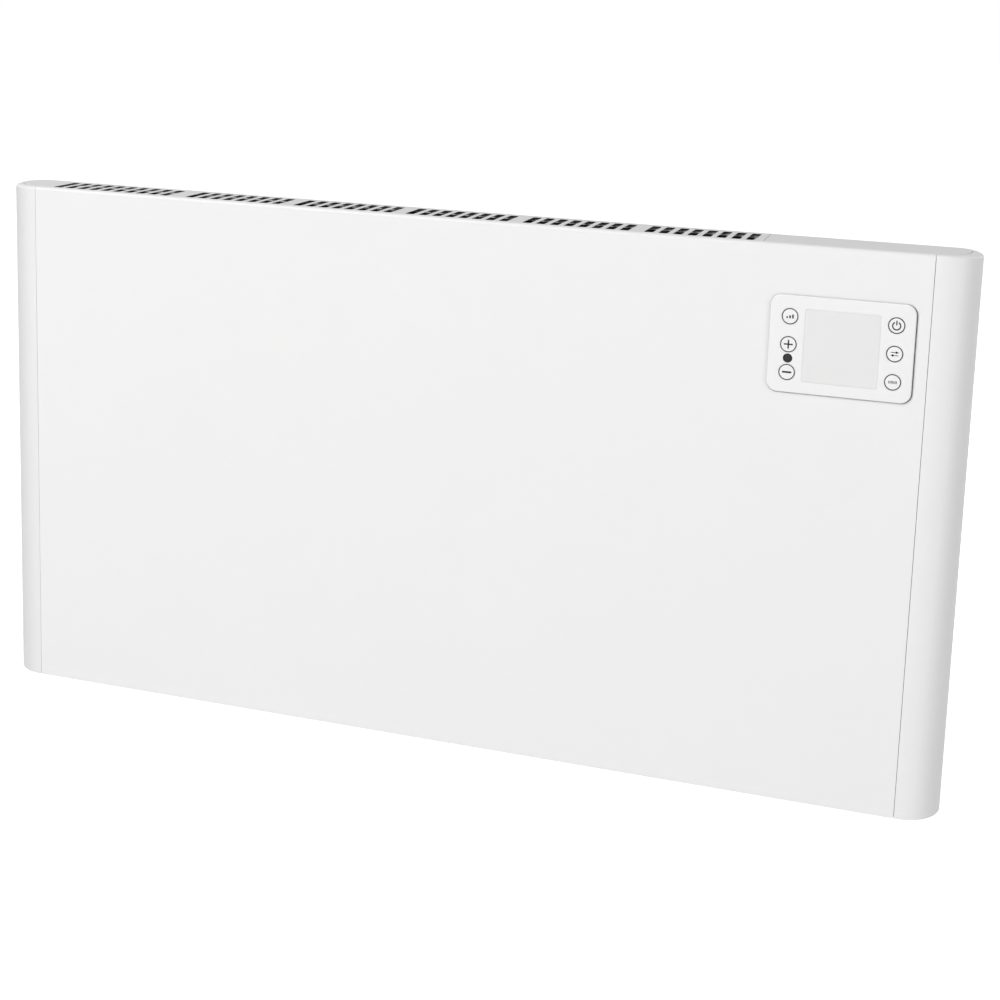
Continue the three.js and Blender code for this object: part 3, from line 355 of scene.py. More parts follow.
def finished(piece, finish, body, stands_for=(), smooth=35):
    """Shading, finish, body, slot and the nodes that a piece stands for."""
    select_only(piece)
    bpy.ops.object.shade_smooth_by_angle(angle=math.radians(smooth))
    modify(piece, "WEIGHTED_NORMAL", keep_sharp=True, weight=80)
    piece.data.materials.clear()
    piece.data.materials.append(finish_of(finish))
    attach(piece, body)
    if stands_for:
        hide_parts(*stands_for)


def rounded_prism(name, centre, size, corner, span, axis="Y", corner_steps=6):
    """A plate with rounded corners: its outline round the centre, and its span along Y or Z."""
    low, high = span
    upright = axis == "Y"
    middle = (centre[0], low, centre[1]) if upright else (*centre, low)
    piece = added("plane", name, middle, (*size, 1), (QUARTER if upright else 0, 0, 0), size=1)
    with shaping(piece):
        round_corners(corner, corner_steps)
        select_everything()
        extrude((Y if upright else Z) * (high - low))
        tidy_mesh()
    return piece


def turned(name, start, direction, profile, sides=48, tube=False):
    """A round piece: a circle carried along its axis and scaled to each (radius, distance) of the profile."""
    start, direction = Vector(start), Vector(direction)
    radius, distance = profile[0]
    turn = Z.rotation_difference(direction).to_euler()
    piece = added(
        "circle", name, start + direction * distance, (1, 1, 1), turn,
        vertices=sides, radius=radius, fill_type="NOTHING" if tube else "NGON",
    )
    with shaping(piece):
        for next_radius, next_distance in profile[1:]:
            extrude(direction * (next_distance - distance))
            if next_radius != radius:
                scale = next_radius / radius
                bpy.ops.transform.resize(
                    value=(scale, scale, scale), center_override=tuple(start + direction * next_distance)
                )
            radius, distance = next_radius, next_distance
        tidy_mesh()
    return piece


def rod(name, start, direction, radius, reach, sides=32):
    return turned(name, start, direction, [(radius, 0), (radius, reach)], sides)


def finished_pair(right, left_name, finish, body, node):
    """Finishes the right piece of a pair and makes the left one as its mirror image."""
    select_only(right)
    bpy.ops.object.duplicate(linked=False)
    left = bpy.context.object
    left.name = left_name
    with shaping(left):
        bpy.ops.transform.resize(value=(-1, 1, 1), center_override=(0, 0, 0))
        bpy.ops.mesh.flip_normals()
    for piece, side in ((right, "right"), (left, "left")):
        finished(piece, finish, body, [f"{node}_{side}"])


# ---- Finishes ----


def new_group(name, inputs, outputs):
    """A node group. Each input has its default value, and a colour is known by its four parts."""
    group = bpy.data.node_groups.new(name, "ShaderNodeTree")
    for label, default in inputs.items():
        kind = "NodeSocketColor" if isinstance(default, tuple) else "NodeSocketFloat"
        group.interface.new_socket(label, in_out="INPUT", socket_type=kind).default_value = default
    for label in outputs:
        kind = "NodeSocketColor" if label == "Colour" else "NodeSocketFloat"
        group.interface.new_socket(label, in_out="OUTPUT", socket_type=kind)
    return group, group.nodes.new("NodeGroupInput").outputs, group.nodes.new("NodeGroupOutput").inputs


def add_node(tree, kind, settings=None, **inputs):
    """A shader node with its settings and input values. An input that is a socket is linked."""
    node = tree.nodes.new(kind)
    for name, value in (settings or {}).items():
        setattr(node, name, value)
    for name, value in inputs.items():
        key = int(name[1:]) if name[1:].isdigit() else name.replace("_", " ")
        socket = node.inputs[key]
        if isinstance(value, bpy.types.NodeSocket):
            tree.links.new(value, socket)
        else:
            socket.default_value = value
    return node


def maths(tree, operation, *values, clamp=False):
    inputs = {f"i{index}": value for index, value in enumerate(values)}
    return add_node(tree, "ShaderNodeMath", {"operation": operation, "use_clamp": clamp}, **inputs).outputs[0]


def mixed_colour(tree, share, first, second, blend="MIX"):
    settings = {"data_type": "RGBA", "blend_type": blend}
    return add_node(tree, "ShaderNodeMix", settings, i0=share, i6=first, i7=second).outputs[2]


def object_place(tree):
    return add_node(tree, "ShaderNodeTexCoord").outputs["Object"]


def noise(tree, place, scale, detail, output="Fac"):
    return add_node(tree, "ShaderNodeTexNoise", Vector=place, Scale=scale, Detail=detail).outputs[output]


def fresh_tree(owner):
    """The emptied node tree of a material or a world."""
    owner.use_nodes = True
    owner.node_tree.nodes.clear()
    return owner.node_tree


def draw_grain(group, place, given):
    """Fine grain over slow changes of tone: for powder coat and for moulded plastic."""
    grain = noise(group, place, given["Scale"], 3.0)
    tone = noise(group, place, TONE_SCALE, 4.0)
    return tone, maths(group, "SUBTRACT", grain, 0.5), grain


def draw_streaks(group, place, given):
    """Long streaks along X, as on an extruded or rolled metal."""
    drawn = add_node(group, "ShaderNodeMapping", Vector=place, Scale=(0.02, 1.0, 1.0)).outputs[0]
    streak = noise(group, drawn, given["Scale"], 5.0)
    return streak, streak, streak


def draw_spangle(group, place, given):
    """Zinc crystals: angular patches that differ in tone and gloss."""
    wander = noise(group, place, 60.0, 2.0, "Color")
    shifted = add_node(group, "ShaderNodeMix", {"data_type": "VECTOR"}, i0=0.02, i4=place, i5=wander)
    crystals = add_node(
        group, "ShaderNodeTexVoronoi", Vector=shifted.outputs[1], Scale=given["Scale"]
    ).outputs
    tone = add_node(group, "ShaderNodeSeparateColor", Color=crystals["Color"]).outputs[0]
    return tone, tone, crystals["Distance"]


GRAIN, DRAWN, SPANGLE = "Grained surface", "Drawn metal", "Zinc spangle"
PATTERNS = {GRAIN: draw_grain, DRAWN: draw_streaks, SPANGLE: draw_spangle}
TONE_SCALE = 9.0
WHITE = (1.0, 1.0, 1.0, 1.0)


def pattern_group(name):
    """The group of a pattern. Its drawing gives the share of the second colour, the change of roughness and
    the height at a place on the piece."""
    known = bpy.data.node_groups.get(name)
    if known:
        return known
    inputs = {
        "Colour": WHITE, "Second Colour": WHITE, "Scale": 1.0, "Roughness": 0.5, "Roughness Spread": 0.1,
    }
    group, given, out = new_group(name, inputs, ("Colour", "Roughness", "Height"))
    share, change, height = PATTERNS[name](group, object_place(group), given)
    colours = mixed_colour(group, share, given["Colour"], given["Second Colour"])
    rough = maths(group, "MULTIPLY_ADD", change, given["Roughness Spread"], given["Roughness"])
    for label, socket in (("Colour", colours), ("Roughness", rough), ("Height", height)):
        group.links.new(socket, out[label])
    return group


# Pattern, colour or the setting that holds it, second colour or its tone, scale of the pattern, depth of its
# relief (mm), roughness and its spread, specular level (of what is no metal)
METAL = None
FINISHES = {
    "White powder coat": (GRAIN, "heater_casing.paint", 0.985, 1400.0, 0.008, 0.36, 0.1, 0.35),
    "White moulded plastic": (GRAIN, "heater_casing.moulding", 0.985, 2600.0, 0.012, 0.45, 0.1, 0.35),
    "Top plate plastic": (GRAIN, "heater_casing.plates", 0.97, 2600.0, 0.015, 0.6, 0.1, 0.5),
    "Fascia moulding": (GRAIN, "heater_controls.fascia", 0.99, 3200.0, 0.004, 0.32, 0.1, 0.5),
    "Fascia plastic": (GRAIN, "heater_controls.fascia", 0.99, 3200.0, 0.004, 0.32, 0.1, 0.5),
    "Display face": (GRAIN, "heater_controls.display", 0.992, 900.0, 0.001, 0.22, 0.04, 0.5),
    "Key ink": (GRAIN, "heater_controls.ink", 1.25, 4000.0, 0.002, 0.5, 0.1, 0.2),
    "Infrared window": (GRAIN, (0.012, 0.012, 0.014, 1), 1.6, 900.0, 0.001, 0.12, 0.04, 0.25),
    "Black moulded plastic": (GRAIN, (0.022, 0.022, 0.024, 1), 1.5, 2400.0, 0.02, 0.45, 0.1, 0.5),
    "Grey moulded plastic": (GRAIN, (0.25, 0.26, 0.27, 1), 0.9, 2400.0, 0.02, 0.5, 0.1, 0.5),
    "Steatite": (GRAIN, (0.78, 0.74, 0.64, 1), 0.92, 1500.0, 0.03, 0.55, 0.1, 0.5),
    "Solder resist": (GRAIN, (0.02, 0.12, 0.06, 1), 1.6, 700.0, 0.03, 0.35, 0.1, 0.5),
    "Mill aluminium": (DRAWN, (0.72, 0.73, 0.74, 1), (0.6, 0.61, 0.63, 1), 900.0, 0.02, 0.28, 0.2, METAL),
    "Plated can": (DRAWN, (0.72, 0.62, 0.42, 1), (0.6, 0.5, 0.34, 1), 1500.0, 0.01, 0.25, 0.2, METAL),
    "Zinc-coated steel": (
        SPANGLE, (0.5, 0.51, 0.52, 1), (0.36, 0.37, 0.38, 1), 130.0, 0.004, 0.34, 0.2, METAL,
    ),
}

# Thickness of the skin that stays white, and the height below which the dark inside colour starts. On the
# panels this colour is a primer that also stands in for the shade inside the casing. On the top plates it is
# painted shade under them and on their slot walls. On the fascia it is a painted shadow line along its
# flange.
PRIMER_AND_PAINTED_SHADE = {
    # the panels' inner faces: primer, darkened as painted shade
    "White powder coat": (SKIN, LEDGE_TOP - SKIN),
    # painted shade on the plates' undersides, inner rims and slot walls
    "Top plate plastic": (PLATE_INSET + PLATE_RIM / 2, Z_TOP - 0.12 * MM),
    # painted shadow line: the fascia's flange takes the dark inside colour
    "Fascia moulding": (-0.8 * MM, LEDGE_TOP),
}

# Painted shade: how strongly the colour of an upright face is darkened at a grazing view, and the slant at
# which that starts
PAINTED_EDGE_SHADE = {
    "White powder coat": (0.4, 0.5), "White moulded plastic": (0.5, 0.15), "Fascia moulding": (0.3, 0.5),
}
FULLY_GRAZED = 0.95
PAINTED_EDGE_SHADE_TONE = (0.4, 0.4, 0.4, 1.0)
UPRIGHT_FADE = 1.6


def surfaced(name):
    """A material whose pattern gives colour, roughness and height to a Principled BSDF."""
    pattern_name, base, second, scale, depth, roughness, spread, specular = FINISHES[name]
    if isinstance(base, str):
        base = tuple(attrgetter(base)(bpy.context.scene))
    if not isinstance(second, tuple):
        second = (*(part * second for part in base[:3]), 1.0)
    gloss = {"Metallic": 1.0} if specular is METAL else {"Specular_IOR_Level": specular}
    material = bpy.data.materials.new(name)
    tree = fresh_tree(material)
    pattern = add_node(
        tree, "ShaderNodeGroup", {"node_tree": pattern_group(pattern_name)},
        Colour=base, Second_Colour=second, Scale=scale, Roughness=roughness, Roughness_Spread=spread,
    ).outputs
    bump = add_node(tree, "ShaderNodeBump", Strength=1.0, Distance=depth * MM, Height=pattern["Height"])
    shader = add_node(
        tree, "ShaderNodeBsdfPrincipled", Normal=bump.outputs["Normal"], Base_Color=pattern["Colour"],
        Roughness=pattern["Roughness"], **gloss,
    )
    add_node(tree, "ShaderNodeOutputMaterial", Surface=shader.outputs[0])
    return material


def inside_group():
    """1 on the faces that look into the casing, 0 on its outer skin: a depth from the front and rear
    faces, and between two heights."""
    group, given, out = new_group("Casing inside", {"Skin": SKIN, "Top": LEDGE_TOP - SKIN}, ("Mask",))
    axes = add_node(group, "ShaderNodeSeparateXYZ", Vector=object_place(group)).outputs
    away = maths(group, "ABSOLUTE", maths(group, "SUBTRACT", axes["Y"], (Y_FRONT + Y_BACK) / 2))
    limit = maths(group, "SUBTRACT", (Y_BACK - Y_FRONT) / 2, given["Skin"])
    under = maths(group, "LESS_THAN", axes["Z"], given["Top"])
    above = maths(group, "GREATER_THAN", axes["Z"], Z_BOTTOM + SKIN)
    mask = maths(group, "MULTIPLY", maths(group, "LESS_THAN", away, limit), under)
    group.links.new(maths(group, "MULTIPLY", mask, above), out["Mask"])
    return group


def base_colour(material):
    """A material's node tree, its colour input, and the socket that feeds it."""
    tree = material.node_tree
    base = next(node for node in tree.nodes if node.type == "BSDF_PRINCIPLED").inputs["Base Color"]
    return tree, base, base.links[0].from_socket


def primer_and_painted_shade_inside(material, skin, top):
    """Shows the primer on the faces of a coated piece that look into the casing."""
    tree, base, coat = base_colour(material)
    group = bpy.data.node_groups.get("Casing inside") or inside_group()
    inside = add_node(tree, "ShaderNodeGroup", {"node_tree": group}, Skin=skin, Top=top).outputs["Mask"]
    # painted shade: the dark inside colour stands in for the shade inside the casing
    tree.links.new(mixed_colour(tree, inside, coat, tuple(casing().primer_and_shade)), base)


def painted_edge_shade(material, depth, start):
    """Lets the upright faces of a glossy white piece turn darker the more grazing the view of them is."""
    tree, base, coat = base_colour(material)
    facing = add_node(tree, "ShaderNodeLayerWeight", Blend=0.5).outputs["Facing"]
    grazing = add_node(
        tree, "ShaderNodeMapRange", Value=facing,
        From_Min=start, From_Max=FULLY_GRAZED, To_Min=0.0, To_Max=depth,
    ).outputs["Result"]
    normal = add_node(tree, "ShaderNodeNewGeometry").outputs["Normal"]
    rise = add_node(tree, "ShaderNodeSeparateXYZ", Vector=normal).outputs["Z"]
    upright = maths(tree, "MULTIPLY_ADD", rise, -UPRIGHT_FADE, 1.0, clamp=True)
    share = maths(tree, "MULTIPLY", grazing, upright)
    # painted shade: the coat's colour multiplied by a grey tone towards grazing views
    tree.links.new(mixed_colour(tree, share, coat, PAINTED_EDGE_SHADE_TONE, "MULTIPLY"), base)


def finish_of(name):
    """The finish of that name, made the first time that it is asked for."""
    known = bpy.data.materials.get(name)
    if known:
        return known
    material = surfaced(name)
    # dark inside colour: primer and painted shade
    if name in PRIMER_AND_PAINTED_SHADE:
        primer_and_painted_shade_inside(material, *PRIMER_AND_PAINTED_SHADE[name])
    # painted shade towards the grazing edges of upright faces
    if name in PAINTED_EDGE_SHADE:
        painted_edge_shade(material, *PAINTED_EDGE_SHADE[name])
    return material


def casing():
    return bpy.context.scene.heater_casing


def outlet():
    return bpy.context.scene.heater_outlet


def controls():
    return bpy.context.scene.heater_controls


def stage_settings():
    return bpy.context.scene.heater_stage


# ---- Stage ----

CAMERA_PLACE = (0.42524, -1.30685, 0.39583)
CAMERA_TURN = (80.2639, -1.892, 17.3627)
CAMERA_LENS = 61.506
CAMERA_SHIFT = (-0.005, -0.225)


def make_camera():
    data = bpy.data.cameras.new("camera")
    data.lens = CAMERA_LENS
    data.sensor_width = 36.0
    data.shift_x, data.shift_y = CAMERA_SHIFT
    data.clip_start, data.clip_end = 0.05, 60.0
    camera = bpy.data.objects.new("camera", data)
    camera.location = CAMERA_PLACE
    camera.rotation_euler = Euler([math.radians(a) for a in CAMERA_TURN], "XYZ")
    bpy.context.scene.collection.objects.link(camera)
    bpy.context.scene.camera = camera


def seen_directly(tree):
    """1 on the rays of the camera and of what metal, gloss and glass show, 0 on the rays that carry light."""
    ray = add_node(tree, "ShaderNodeLightPath").outputs
    seen = maths(tree, "MAXIMUM", ray["Is Camera Ray"], ray["Is Glossy Ray"])
    return maths(tree, "MAXIMUM", seen, ray["Is Transmission Ray"])


def make_world():
    """Even light all round, and plain white wherever the camera or a gloss looks past the object."""
    world = bpy.data.worlds.new("studio")
    bpy.context.scene.world = world
    tree = fresh_tree(world)
    light = add_node(tree, "ShaderNodeBackground", Color=(1, 1, 1, 1), Strength=stage_settings().ambient)
    white = add_node(tree, "ShaderNodeBackground", Color=(1, 1, 1, 1), Strength=1.0)
    mixed = add_node(
        tree, "ShaderNodeMixShader", i0=seen_directly(tree), i1=light.outputs[0], i2=white.outputs[0]
    )
    add_node(tree, "ShaderNodeOutputWorld", Surface=mixed.outputs[0])


def make_floor():
    """A pale floor that keeps a faint shadow and is open from below."""
    settings = stage_settings()
    floor = added("plane", "floor", (0, 0, Z_BOTTOM - settings.hang), (1, 1, 1), size=40)
    with shaping(floor):
        bpy.ops.mesh.subdivide(number_cuts=3)
    material = bpy.data.materials.new("Floor")
    tree = fresh_tree(material)
    shader = add_node(
        tree, "ShaderNodeBsdfPrincipled",
        Base_Color=tuple(settings.floor), Roughness=0.8, Emission_Color=(1, 1, 1, 1),
        Emission_Strength=maths(tree, "MULTIPLY", seen_directly(tree), settings.lift),
    )
    clear = add_node(tree, "ShaderNodeBsdfTransparent")
    side = add_node(tree, "ShaderNodeNewGeometry").outputs["Backfacing"]
    mixed = add_node(tree, "ShaderNodeMixShader", i0=side, i1=shader.outputs[0], i2=clear.outputs[0])
    add_node(tree, "ShaderNodeOutputMaterial", Surface=mixed.outputs[0])
    floor.data.materials.append(material)


def make_lamp(name, azimuth, elevation, strength, size, distance=4.0):
    """A soft rectangular light round the casing's middle. An azimuth of 0 is straight in front, and it
    grows to the right. The power follows from the strength, so that 1 lights a white face as white."""
    data = bpy.data.lights.new(name, "AREA")
    data.shape = "RECTANGLE"
    data.size, data.size_y = size
    data.energy = strength * (math.pi * distance) ** 2
    lamp = bpy.data.objects.new(name, data)
    across, up = math.radians(azimuth), math.radians(elevation)
    away = Vector((math.sin(across) * math.cos(up), -math.cos(across) * math.cos(up), math.sin(up)))
    lamp.location = away * distance
    lamp.rotation_euler = away.to_track_quat("Z", "Y").to_euler()
    bpy.context.scene.collection.objects.link(lamp)


def make_stage():
    settings = stage_settings()
    scene = bpy.context.scene
    scene.view_settings.view_transform = "Standard"
    make_camera()
    make_world()
    make_floor()
    make_lamp("left_softbox", -35, 40, settings.left_light, (1.6, 1.2))
    make_lamp("front_softbox", 0, 8, settings.front_light, (2.0, 1.0))
    make_lamp("right_softbox", 60, 8, settings.right_light, (1.6, 1.0))
    make_lamp("rear_softbox", 135, 10, settings.rear_light, (1.4, 1.0))


# ---- Casing ----

ROLL_STEPS = 12
WELT = 0.25 * MM  # softened edges of the panels and columns


def flange_span():
    """The heights between which the ends of the panels and columns are folded inwards."""
    return Z_BOTTOM + 6 * MM, Z_TOP - casing().edge_radius - 4 * MM


def rolled_sheet(name, side, ledge):
    """A panel with its top edge rolled over and stepped down to a ledge, and a return at each end.
    side is -1 for the front panel and +1 for the rear one."""
    radius = casing().edge_radius
    y = Y_FRONT if side < 0 else Y_BACK
    inward = Y * -side
    high = Z_TOP - radius
    piece = added(
        "plane", name, (0, y, (Z_BOTTOM + high) / 2), (2 * PANEL_END, high - Z_BOTTOM, 1),
        (QUARTER, 0, 0), size=1,
    )
    return_low, return_high = flange_span()
    slack = MM / 10
    with shaping(piece):
        divide(((0, 0, high - 1.5 * MM), Z), ((0, 0, return_low), Z), ((0, 0, return_high), Z))
        pick("EDGE", lambda v: near(v.z, high))
        spin((0, y - side * radius, high), X, QUARTER * side, ROLL_STEPS)
        extrude(Z * (LEDGE_TOP - Z_TOP), inward * ledge)
        for end in (-PANEL_END, PANEL_END):
            pick(
                "EDGE",
                lambda v: near(v.x, end) and near(v.y, y) and return_low - slack < v.z < return_high + slack,
            )
            extrude(inward * PANEL_RETURN)
        face_towards(Y * side, lambda c: near(c.y, y))
    thicken(piece, casing().sheet)
    return piece


def finished_panel(piece, width, node):
    soften(piece, width)
    finished(piece, "White powder coat", "heater", [node])


def make_front_panel():
    piece = rolled_sheet("front_sheet", -1, FRONT_LEDGE)
    size = FASCIA_HIGH - FASCIA_LOW
    window = rounded_prism(
        "window_cutter", (FASCIA_CENTRE.x, FASCIA_CENTRE.z),
        (size.x - 2 * WINDOW_INSET, size.z - 2 * WINDOW_INSET), 5 * MM, (Y_FRONT - 3 * MM, Y_FRONT + 3 * MM),
    )
    carve(piece, window)
    finished_panel(piece, WELT, "front_panel")


def make_rear_panel():
    piece = rolled_sheet("rear_sheet", 1, REAR_LEDGE)
    slots = [
        block(
            "hook_slot_cutter",
            (side * HOOK_X - 2.2 * MM, Y_BACK - 3 * MM, height - 15.9 * MM),
            (side * HOOK_X + 2.2 * MM, Y_BACK + 3 * MM, height + 0.3 * MM),
        )
        for side in (-1, 1)
        for height in HOOK_HEIGHTS
    ]
    carve(piece, *slots)
    finished_panel(piece, WELT, "rear_panel")


def quarters():
    """The radius and the centre in X of both quarters of an end's plan, and whether it is the rear one."""
    settings = casing()
    radii = (settings.front_radius, settings.rear_radius)
    return [(radius, HALF_WIDTH - radius, index == 1) for index, radius in enumerate(radii)]


def in_quarter(v, centre, rear, side=1):
    return side * v.x > centre + HAIR and (v.y > Y_MIDDLE + HAIR) == rear


def draw_in(centre, share):
    """Moves what is selected towards the centre in X, by a share of its distance."""
    bpy.ops.transform.resize(value=(1 - share, 1, 1), center_override=(centre, 0, 0))


def widen_roll(insets_and_heights):
    """Lets the roll and the ledge reach further in towards the tip: each of their lines round the two
    quarters is drawn in along X, as far as its inset goes across the roll."""
    settings = casing()
    for radius, centre, rear in quarters():
        for inset, height in insets_and_heights:
            pick(
                "VERT",
                lambda v: near(v.z, height) and in_quarter(v, centre, rear)
                and near(math.hypot(v.x - centre, v.y - Y_MIDDLE), radius - inset),
            )
            reach = settings.end_reach * min(1.0, inset / settings.edge_radius)
            draw_in(centre, reach / (radius - inset))


def column_shell():
    """The right end column: its section at the front seam, carried round both quarters to the rear seam."""
    settings = casing()
    wall, edge = settings.wall, settings.edge_radius
    ledge_end = edge + FRONT_LEDGE
    under_ledge = LEDGE_TOP - wall
    start = SEAM + FIT / 2
    (_, front_centre, _), (_, rear_centre, _) = quarters()
    piece = added(
        "plane", "right_column", (start, Y_FRONT + ledge_end / 2, (Z_BOTTOM + Z_TOP) / 2),
        (ledge_end, Z_TOP - Z_BOTTOM, 1), (QUARTER, 0, QUARTER), size=1,
    )
    with shaping(piece):
        pick("VERT", lambda v: near(v.z, Z_TOP) and near(v.y, Y_FRONT))
        round_corners(edge, ROLL_STEPS)
        divide(
            ((0, Y_FRONT + wall, 0), Y), ((0, Y_FRONT + edge, 0), Y),
            ((0, 0, under_ledge), Z), ((0, 0, LEDGE_TOP), Z),
        )
        pick_centres(
            lambda c: (c.y > Y_FRONT + wall and c.z < under_ledge)
            or (c.y > Y_FRONT + edge and c.z > LEDGE_TOP)
        )
        bpy.ops.mesh.delete(type="FACE")
        select_everything()
        extrude(X * (front_centre - start))
        spin((front_centre, Y_MIDDLE, 0), Z, QUARTER, 24)
        spin((rear_centre, Y_MIDDLE, 0), Z, QUARTER, 18)
        extrude(X * (start + wall - rear_centre), X * -wall)
        tidy_mesh()
        roll_centre = Z_TOP - edge
        turns = [step * QUARTER / ROLL_STEPS for step in range(1, ROLL_STEPS + 1)]
        widen_roll(
            [(edge * (1 - math.cos(a)), roll_centre + edge * math.sin(a)) for a in turns]
            + [
                (wall, roll_centre + math.sqrt(edge**2 - (edge - wall) ** 2)),
                (edge - math.sqrt(edge**2 - (LEDGE_TOP - roll_centre) ** 2), LEDGE_TOP),
                (edge, LEDGE_TOP), (ledge_end, LEDGE_TOP), (ledge_end, under_ledge),
            ]
        )
        low, high = flange_span()
        divide(((0, 0, low), Z), ((0, 0, high), Z))
        for y, inward in ((Y_FRONT + wall, Y), (Y_BACK - wall, -Y)):
            pick_centres(lambda c: near(c.y, y) and c.x < start + wall and low < c.z < high)
            extrude(inward * COLUMN_RETURN)
        tidy_mesh()
    return piece


def make_end_columns():
    right = column_shell()
    soften(right, WELT)
    finished_pair(right, "left_column", "White moulded plastic", "heater", "end_column")


def round_ends(inset, *sides):
    """Rounds the corners of a flat plate as the casing's plan is, moved in by the inset."""
    end = HALF_WIDTH - inset
    for y, (radius, _, _) in zip((Y_FRONT + inset, Y_BACK - inset), quarters()):
        pick("VERT", lambda v: near(v.y, y) and any(near(v.x, side * end) for side in sides))
        round_corners(radius - inset, 16)
    select_everything()
    bpy.ops.mesh.remove_doubles(threshold=MERGE)


def sheet_plate(name, side, seam_x):
    """A top plate: a thin sheet with its edge turned down on to the ledges, and one end rounded as the
    casing's plan is, drawn in by the end reach at the tip."""
    under = Z_TOP - casing().plate_sheet
    end = side * (HALF_WIDTH - PLATE_INSET)
    depth = Y_BACK - Y_FRONT - 2 * PLATE_INSET
    centre = ((end + seam_x) / 2, (Y_FRONT + Y_BACK) / 2, under)
    piece = added("plane", name, centre, (abs(end - seam_x), depth, 1), size=1)
    with shaping(piece):
        round_ends(PLATE_INSET, side)
        for radius, centre, rear in quarters():
            pick("VERT", lambda v: in_quarter(v, centre, rear, side))
            draw_in(side * centre, casing().end_reach / (radius - PLATE_INSET))
        select_everything()
        extrude(Z * (Z_TOP - under))
        tidy_mesh()
    with shaping(piece):
        pick("FACE", lambda v: near(v.z, under))
        bpy.ops.mesh.inset(thickness=PLATE_RIM)
        pick_centres(lambda c: near(c.z, under), LARGEST_RIM)
        extrude(Z * (Z_TOP - PLATE - under))
        tidy_mesh()
    return piece


def finished_plate(piece, width, node):
    soften(piece, width)
    finished(piece, "Top plate plastic", "heater", [node])


def make_outlet_plate():
    settings = outlet()
    piece = sheet_plate("outlet_plate", -1, COVER_SEAM - FIT / 2)
    span = (Z_TOP - 2 * PLATE, Z_TOP + PLATE)
    middle = Y_FRONT + (settings.slot_front + settings.slot_rear) / 2
    size = (settings.slot_width, settings.slot_rear - settings.slot_front)
    x = settings.first_slot + settings.slot_width / 2
    cutters = []
    for group, count in enumerate(SLOTS_PER_GROUP):
        cutter = rounded_prism("slot_cutter", (x, middle), size, settings.slot_corner, span, "Z", 4)
        repeat(cutter, count, X * settings.slot_pitch)
        cutters.append(cutter)
        x += count * settings.slot_pitch + (settings.gap if group else settings.first_gap)
    carve(piece, *cutters)
    finished_plate(piece, 0.1 * MM, "top_grille")


def make_controls_cover():
    piece = sheet_plate("controls_cover", 1, COVER_SEAM + FIT / 2)
    lips = [
        block(
            "cover_lip", (COVER_SEAM + 16 * MM, y, Z_TOP - 9 * MM),
            (SEAM - 14 * MM, y + 1.6 * MM, Z_TOP - MM / 5),
        )
        for y in (Y_FRONT + 8 * MM, Y_BACK - 13 * MM)
    ]
    fuse(piece, *lips)
    finished_plate(piece, 0.12 * MM, "top_cover")


def switch_block(name, half_x, half_y, low, high, shift=0.0):
    """A block round the middle of the mains switch."""
    x = SWITCH_X + shift
    return block(name, (x - half_x, SWITCH_Y - half_y, low), (x + half_x, SWITCH_Y + half_y, high))


def make_bottom_plate():
    """The bottom plate with its upturned flanges, intake slots, switch opening and gland hole."""
    settings = casing()
    inset = settings.wall + FIT
    depth = Y_BACK - Y_FRONT - 2 * inset
    middle = (0, (Y_FRONT + Y_BACK) / 2, Z_BOTTOM)
    piece = added("plane", "intake_plate", middle, (2 * (HALF_WIDTH - inset), depth, 1), size=1)
    with shaping(piece):
        round_ends(inset, -1, 1)
        divide(((-BOTTOM_FLANGE, 0, 0), X), ((BOTTOM_FLANGE, 0, 0), X))
        for y in (Y_FRONT + inset, Y_BACK - inset):
            pick("EDGE", lambda v: near(v.y, y) and abs(v.x) < BOTTOM_FLANGE + MM / 10)
            extrude(Z * 12 * MM)
        face_towards(-Z, lambda c: near(c.z, Z_BOTTOM))
    thicken(piece, settings.sheet)

    low, reach = Z_BOTTOM - 3 * MM, 6 * MM
    first_x, first_y = INTAKE["first_x"], INTAKE["y"] - INTAKE["pitch_y"]
    width = outlet().intake_width
    slots = rod("intake_cutter", (first_x, first_y, low), Z, width / 2, reach, 24)
    with shaping(slots):
        for sign in (-1, 1):
            pick("VERT", lambda v: sign * (v.x - first_x) > HAIR / 10)
            bpy.ops.transform.translate(value=(sign * (outlet().intake_length - width) / 2, 0, 0))
    repeat(slots, INTAKE["columns"], X * INTAKE["pitch_x"])
    repeat(slots, INTAKE["rows"], Y * INTAKE["pitch_y"])
    switch = switch_block("switch_cutter", 11.3 * MM, 6.8 * MM, low, low + reach)
    carve(piece, slots, switch, rod("gland_cutter", (GLAND_X, SWITCH_Y, low), Z, 7.7 * MM, reach))
    finished_panel(piece, 0.2 * MM, "bottom_grille")


# ---- Controls ----

KEY_COLUMN = 38.2 * MM
KEY_PITCH = 20.9 * MM
KEY_NAMES = {-1: ("mode", "plus", "minus"), 1: ("power", "set", "week")}
RECEIVER_RADIUS = 3.4 * MM
KEY_PLAY = 0.1 * MM

FASCIA_CORNER = 8 * MM
FLANGE_THICKNESS = 0.45 * MM
BLOCK_INSET, BLOCK_WALL = 4 * MM, 1.6 * MM
BLOCK_BACK = FASCIA_FRONT + 4 * MM
RIM_REACH = 9.7 * MM  # the rim inside lies between the fascia's outline and this far in from it
PANE_CORNER = 1.5 * MM


def key_centres():
    """The name and the (x, z) centre of each key."""
    return [
        (name, FASCIA_CENTRE.x + side * KEY_COLUMN, FASCIA_CENTRE.z + (1 - row) * KEY_PITCH)
        for side, names in KEY_NAMES.items()
        for row, name in enumerate(names)
    ]


def receiver_centre():
    return FASCIA_CENTRE.x - KEY_COLUMN, FASCIA_CENTRE.z - KEY_PITCH / 2


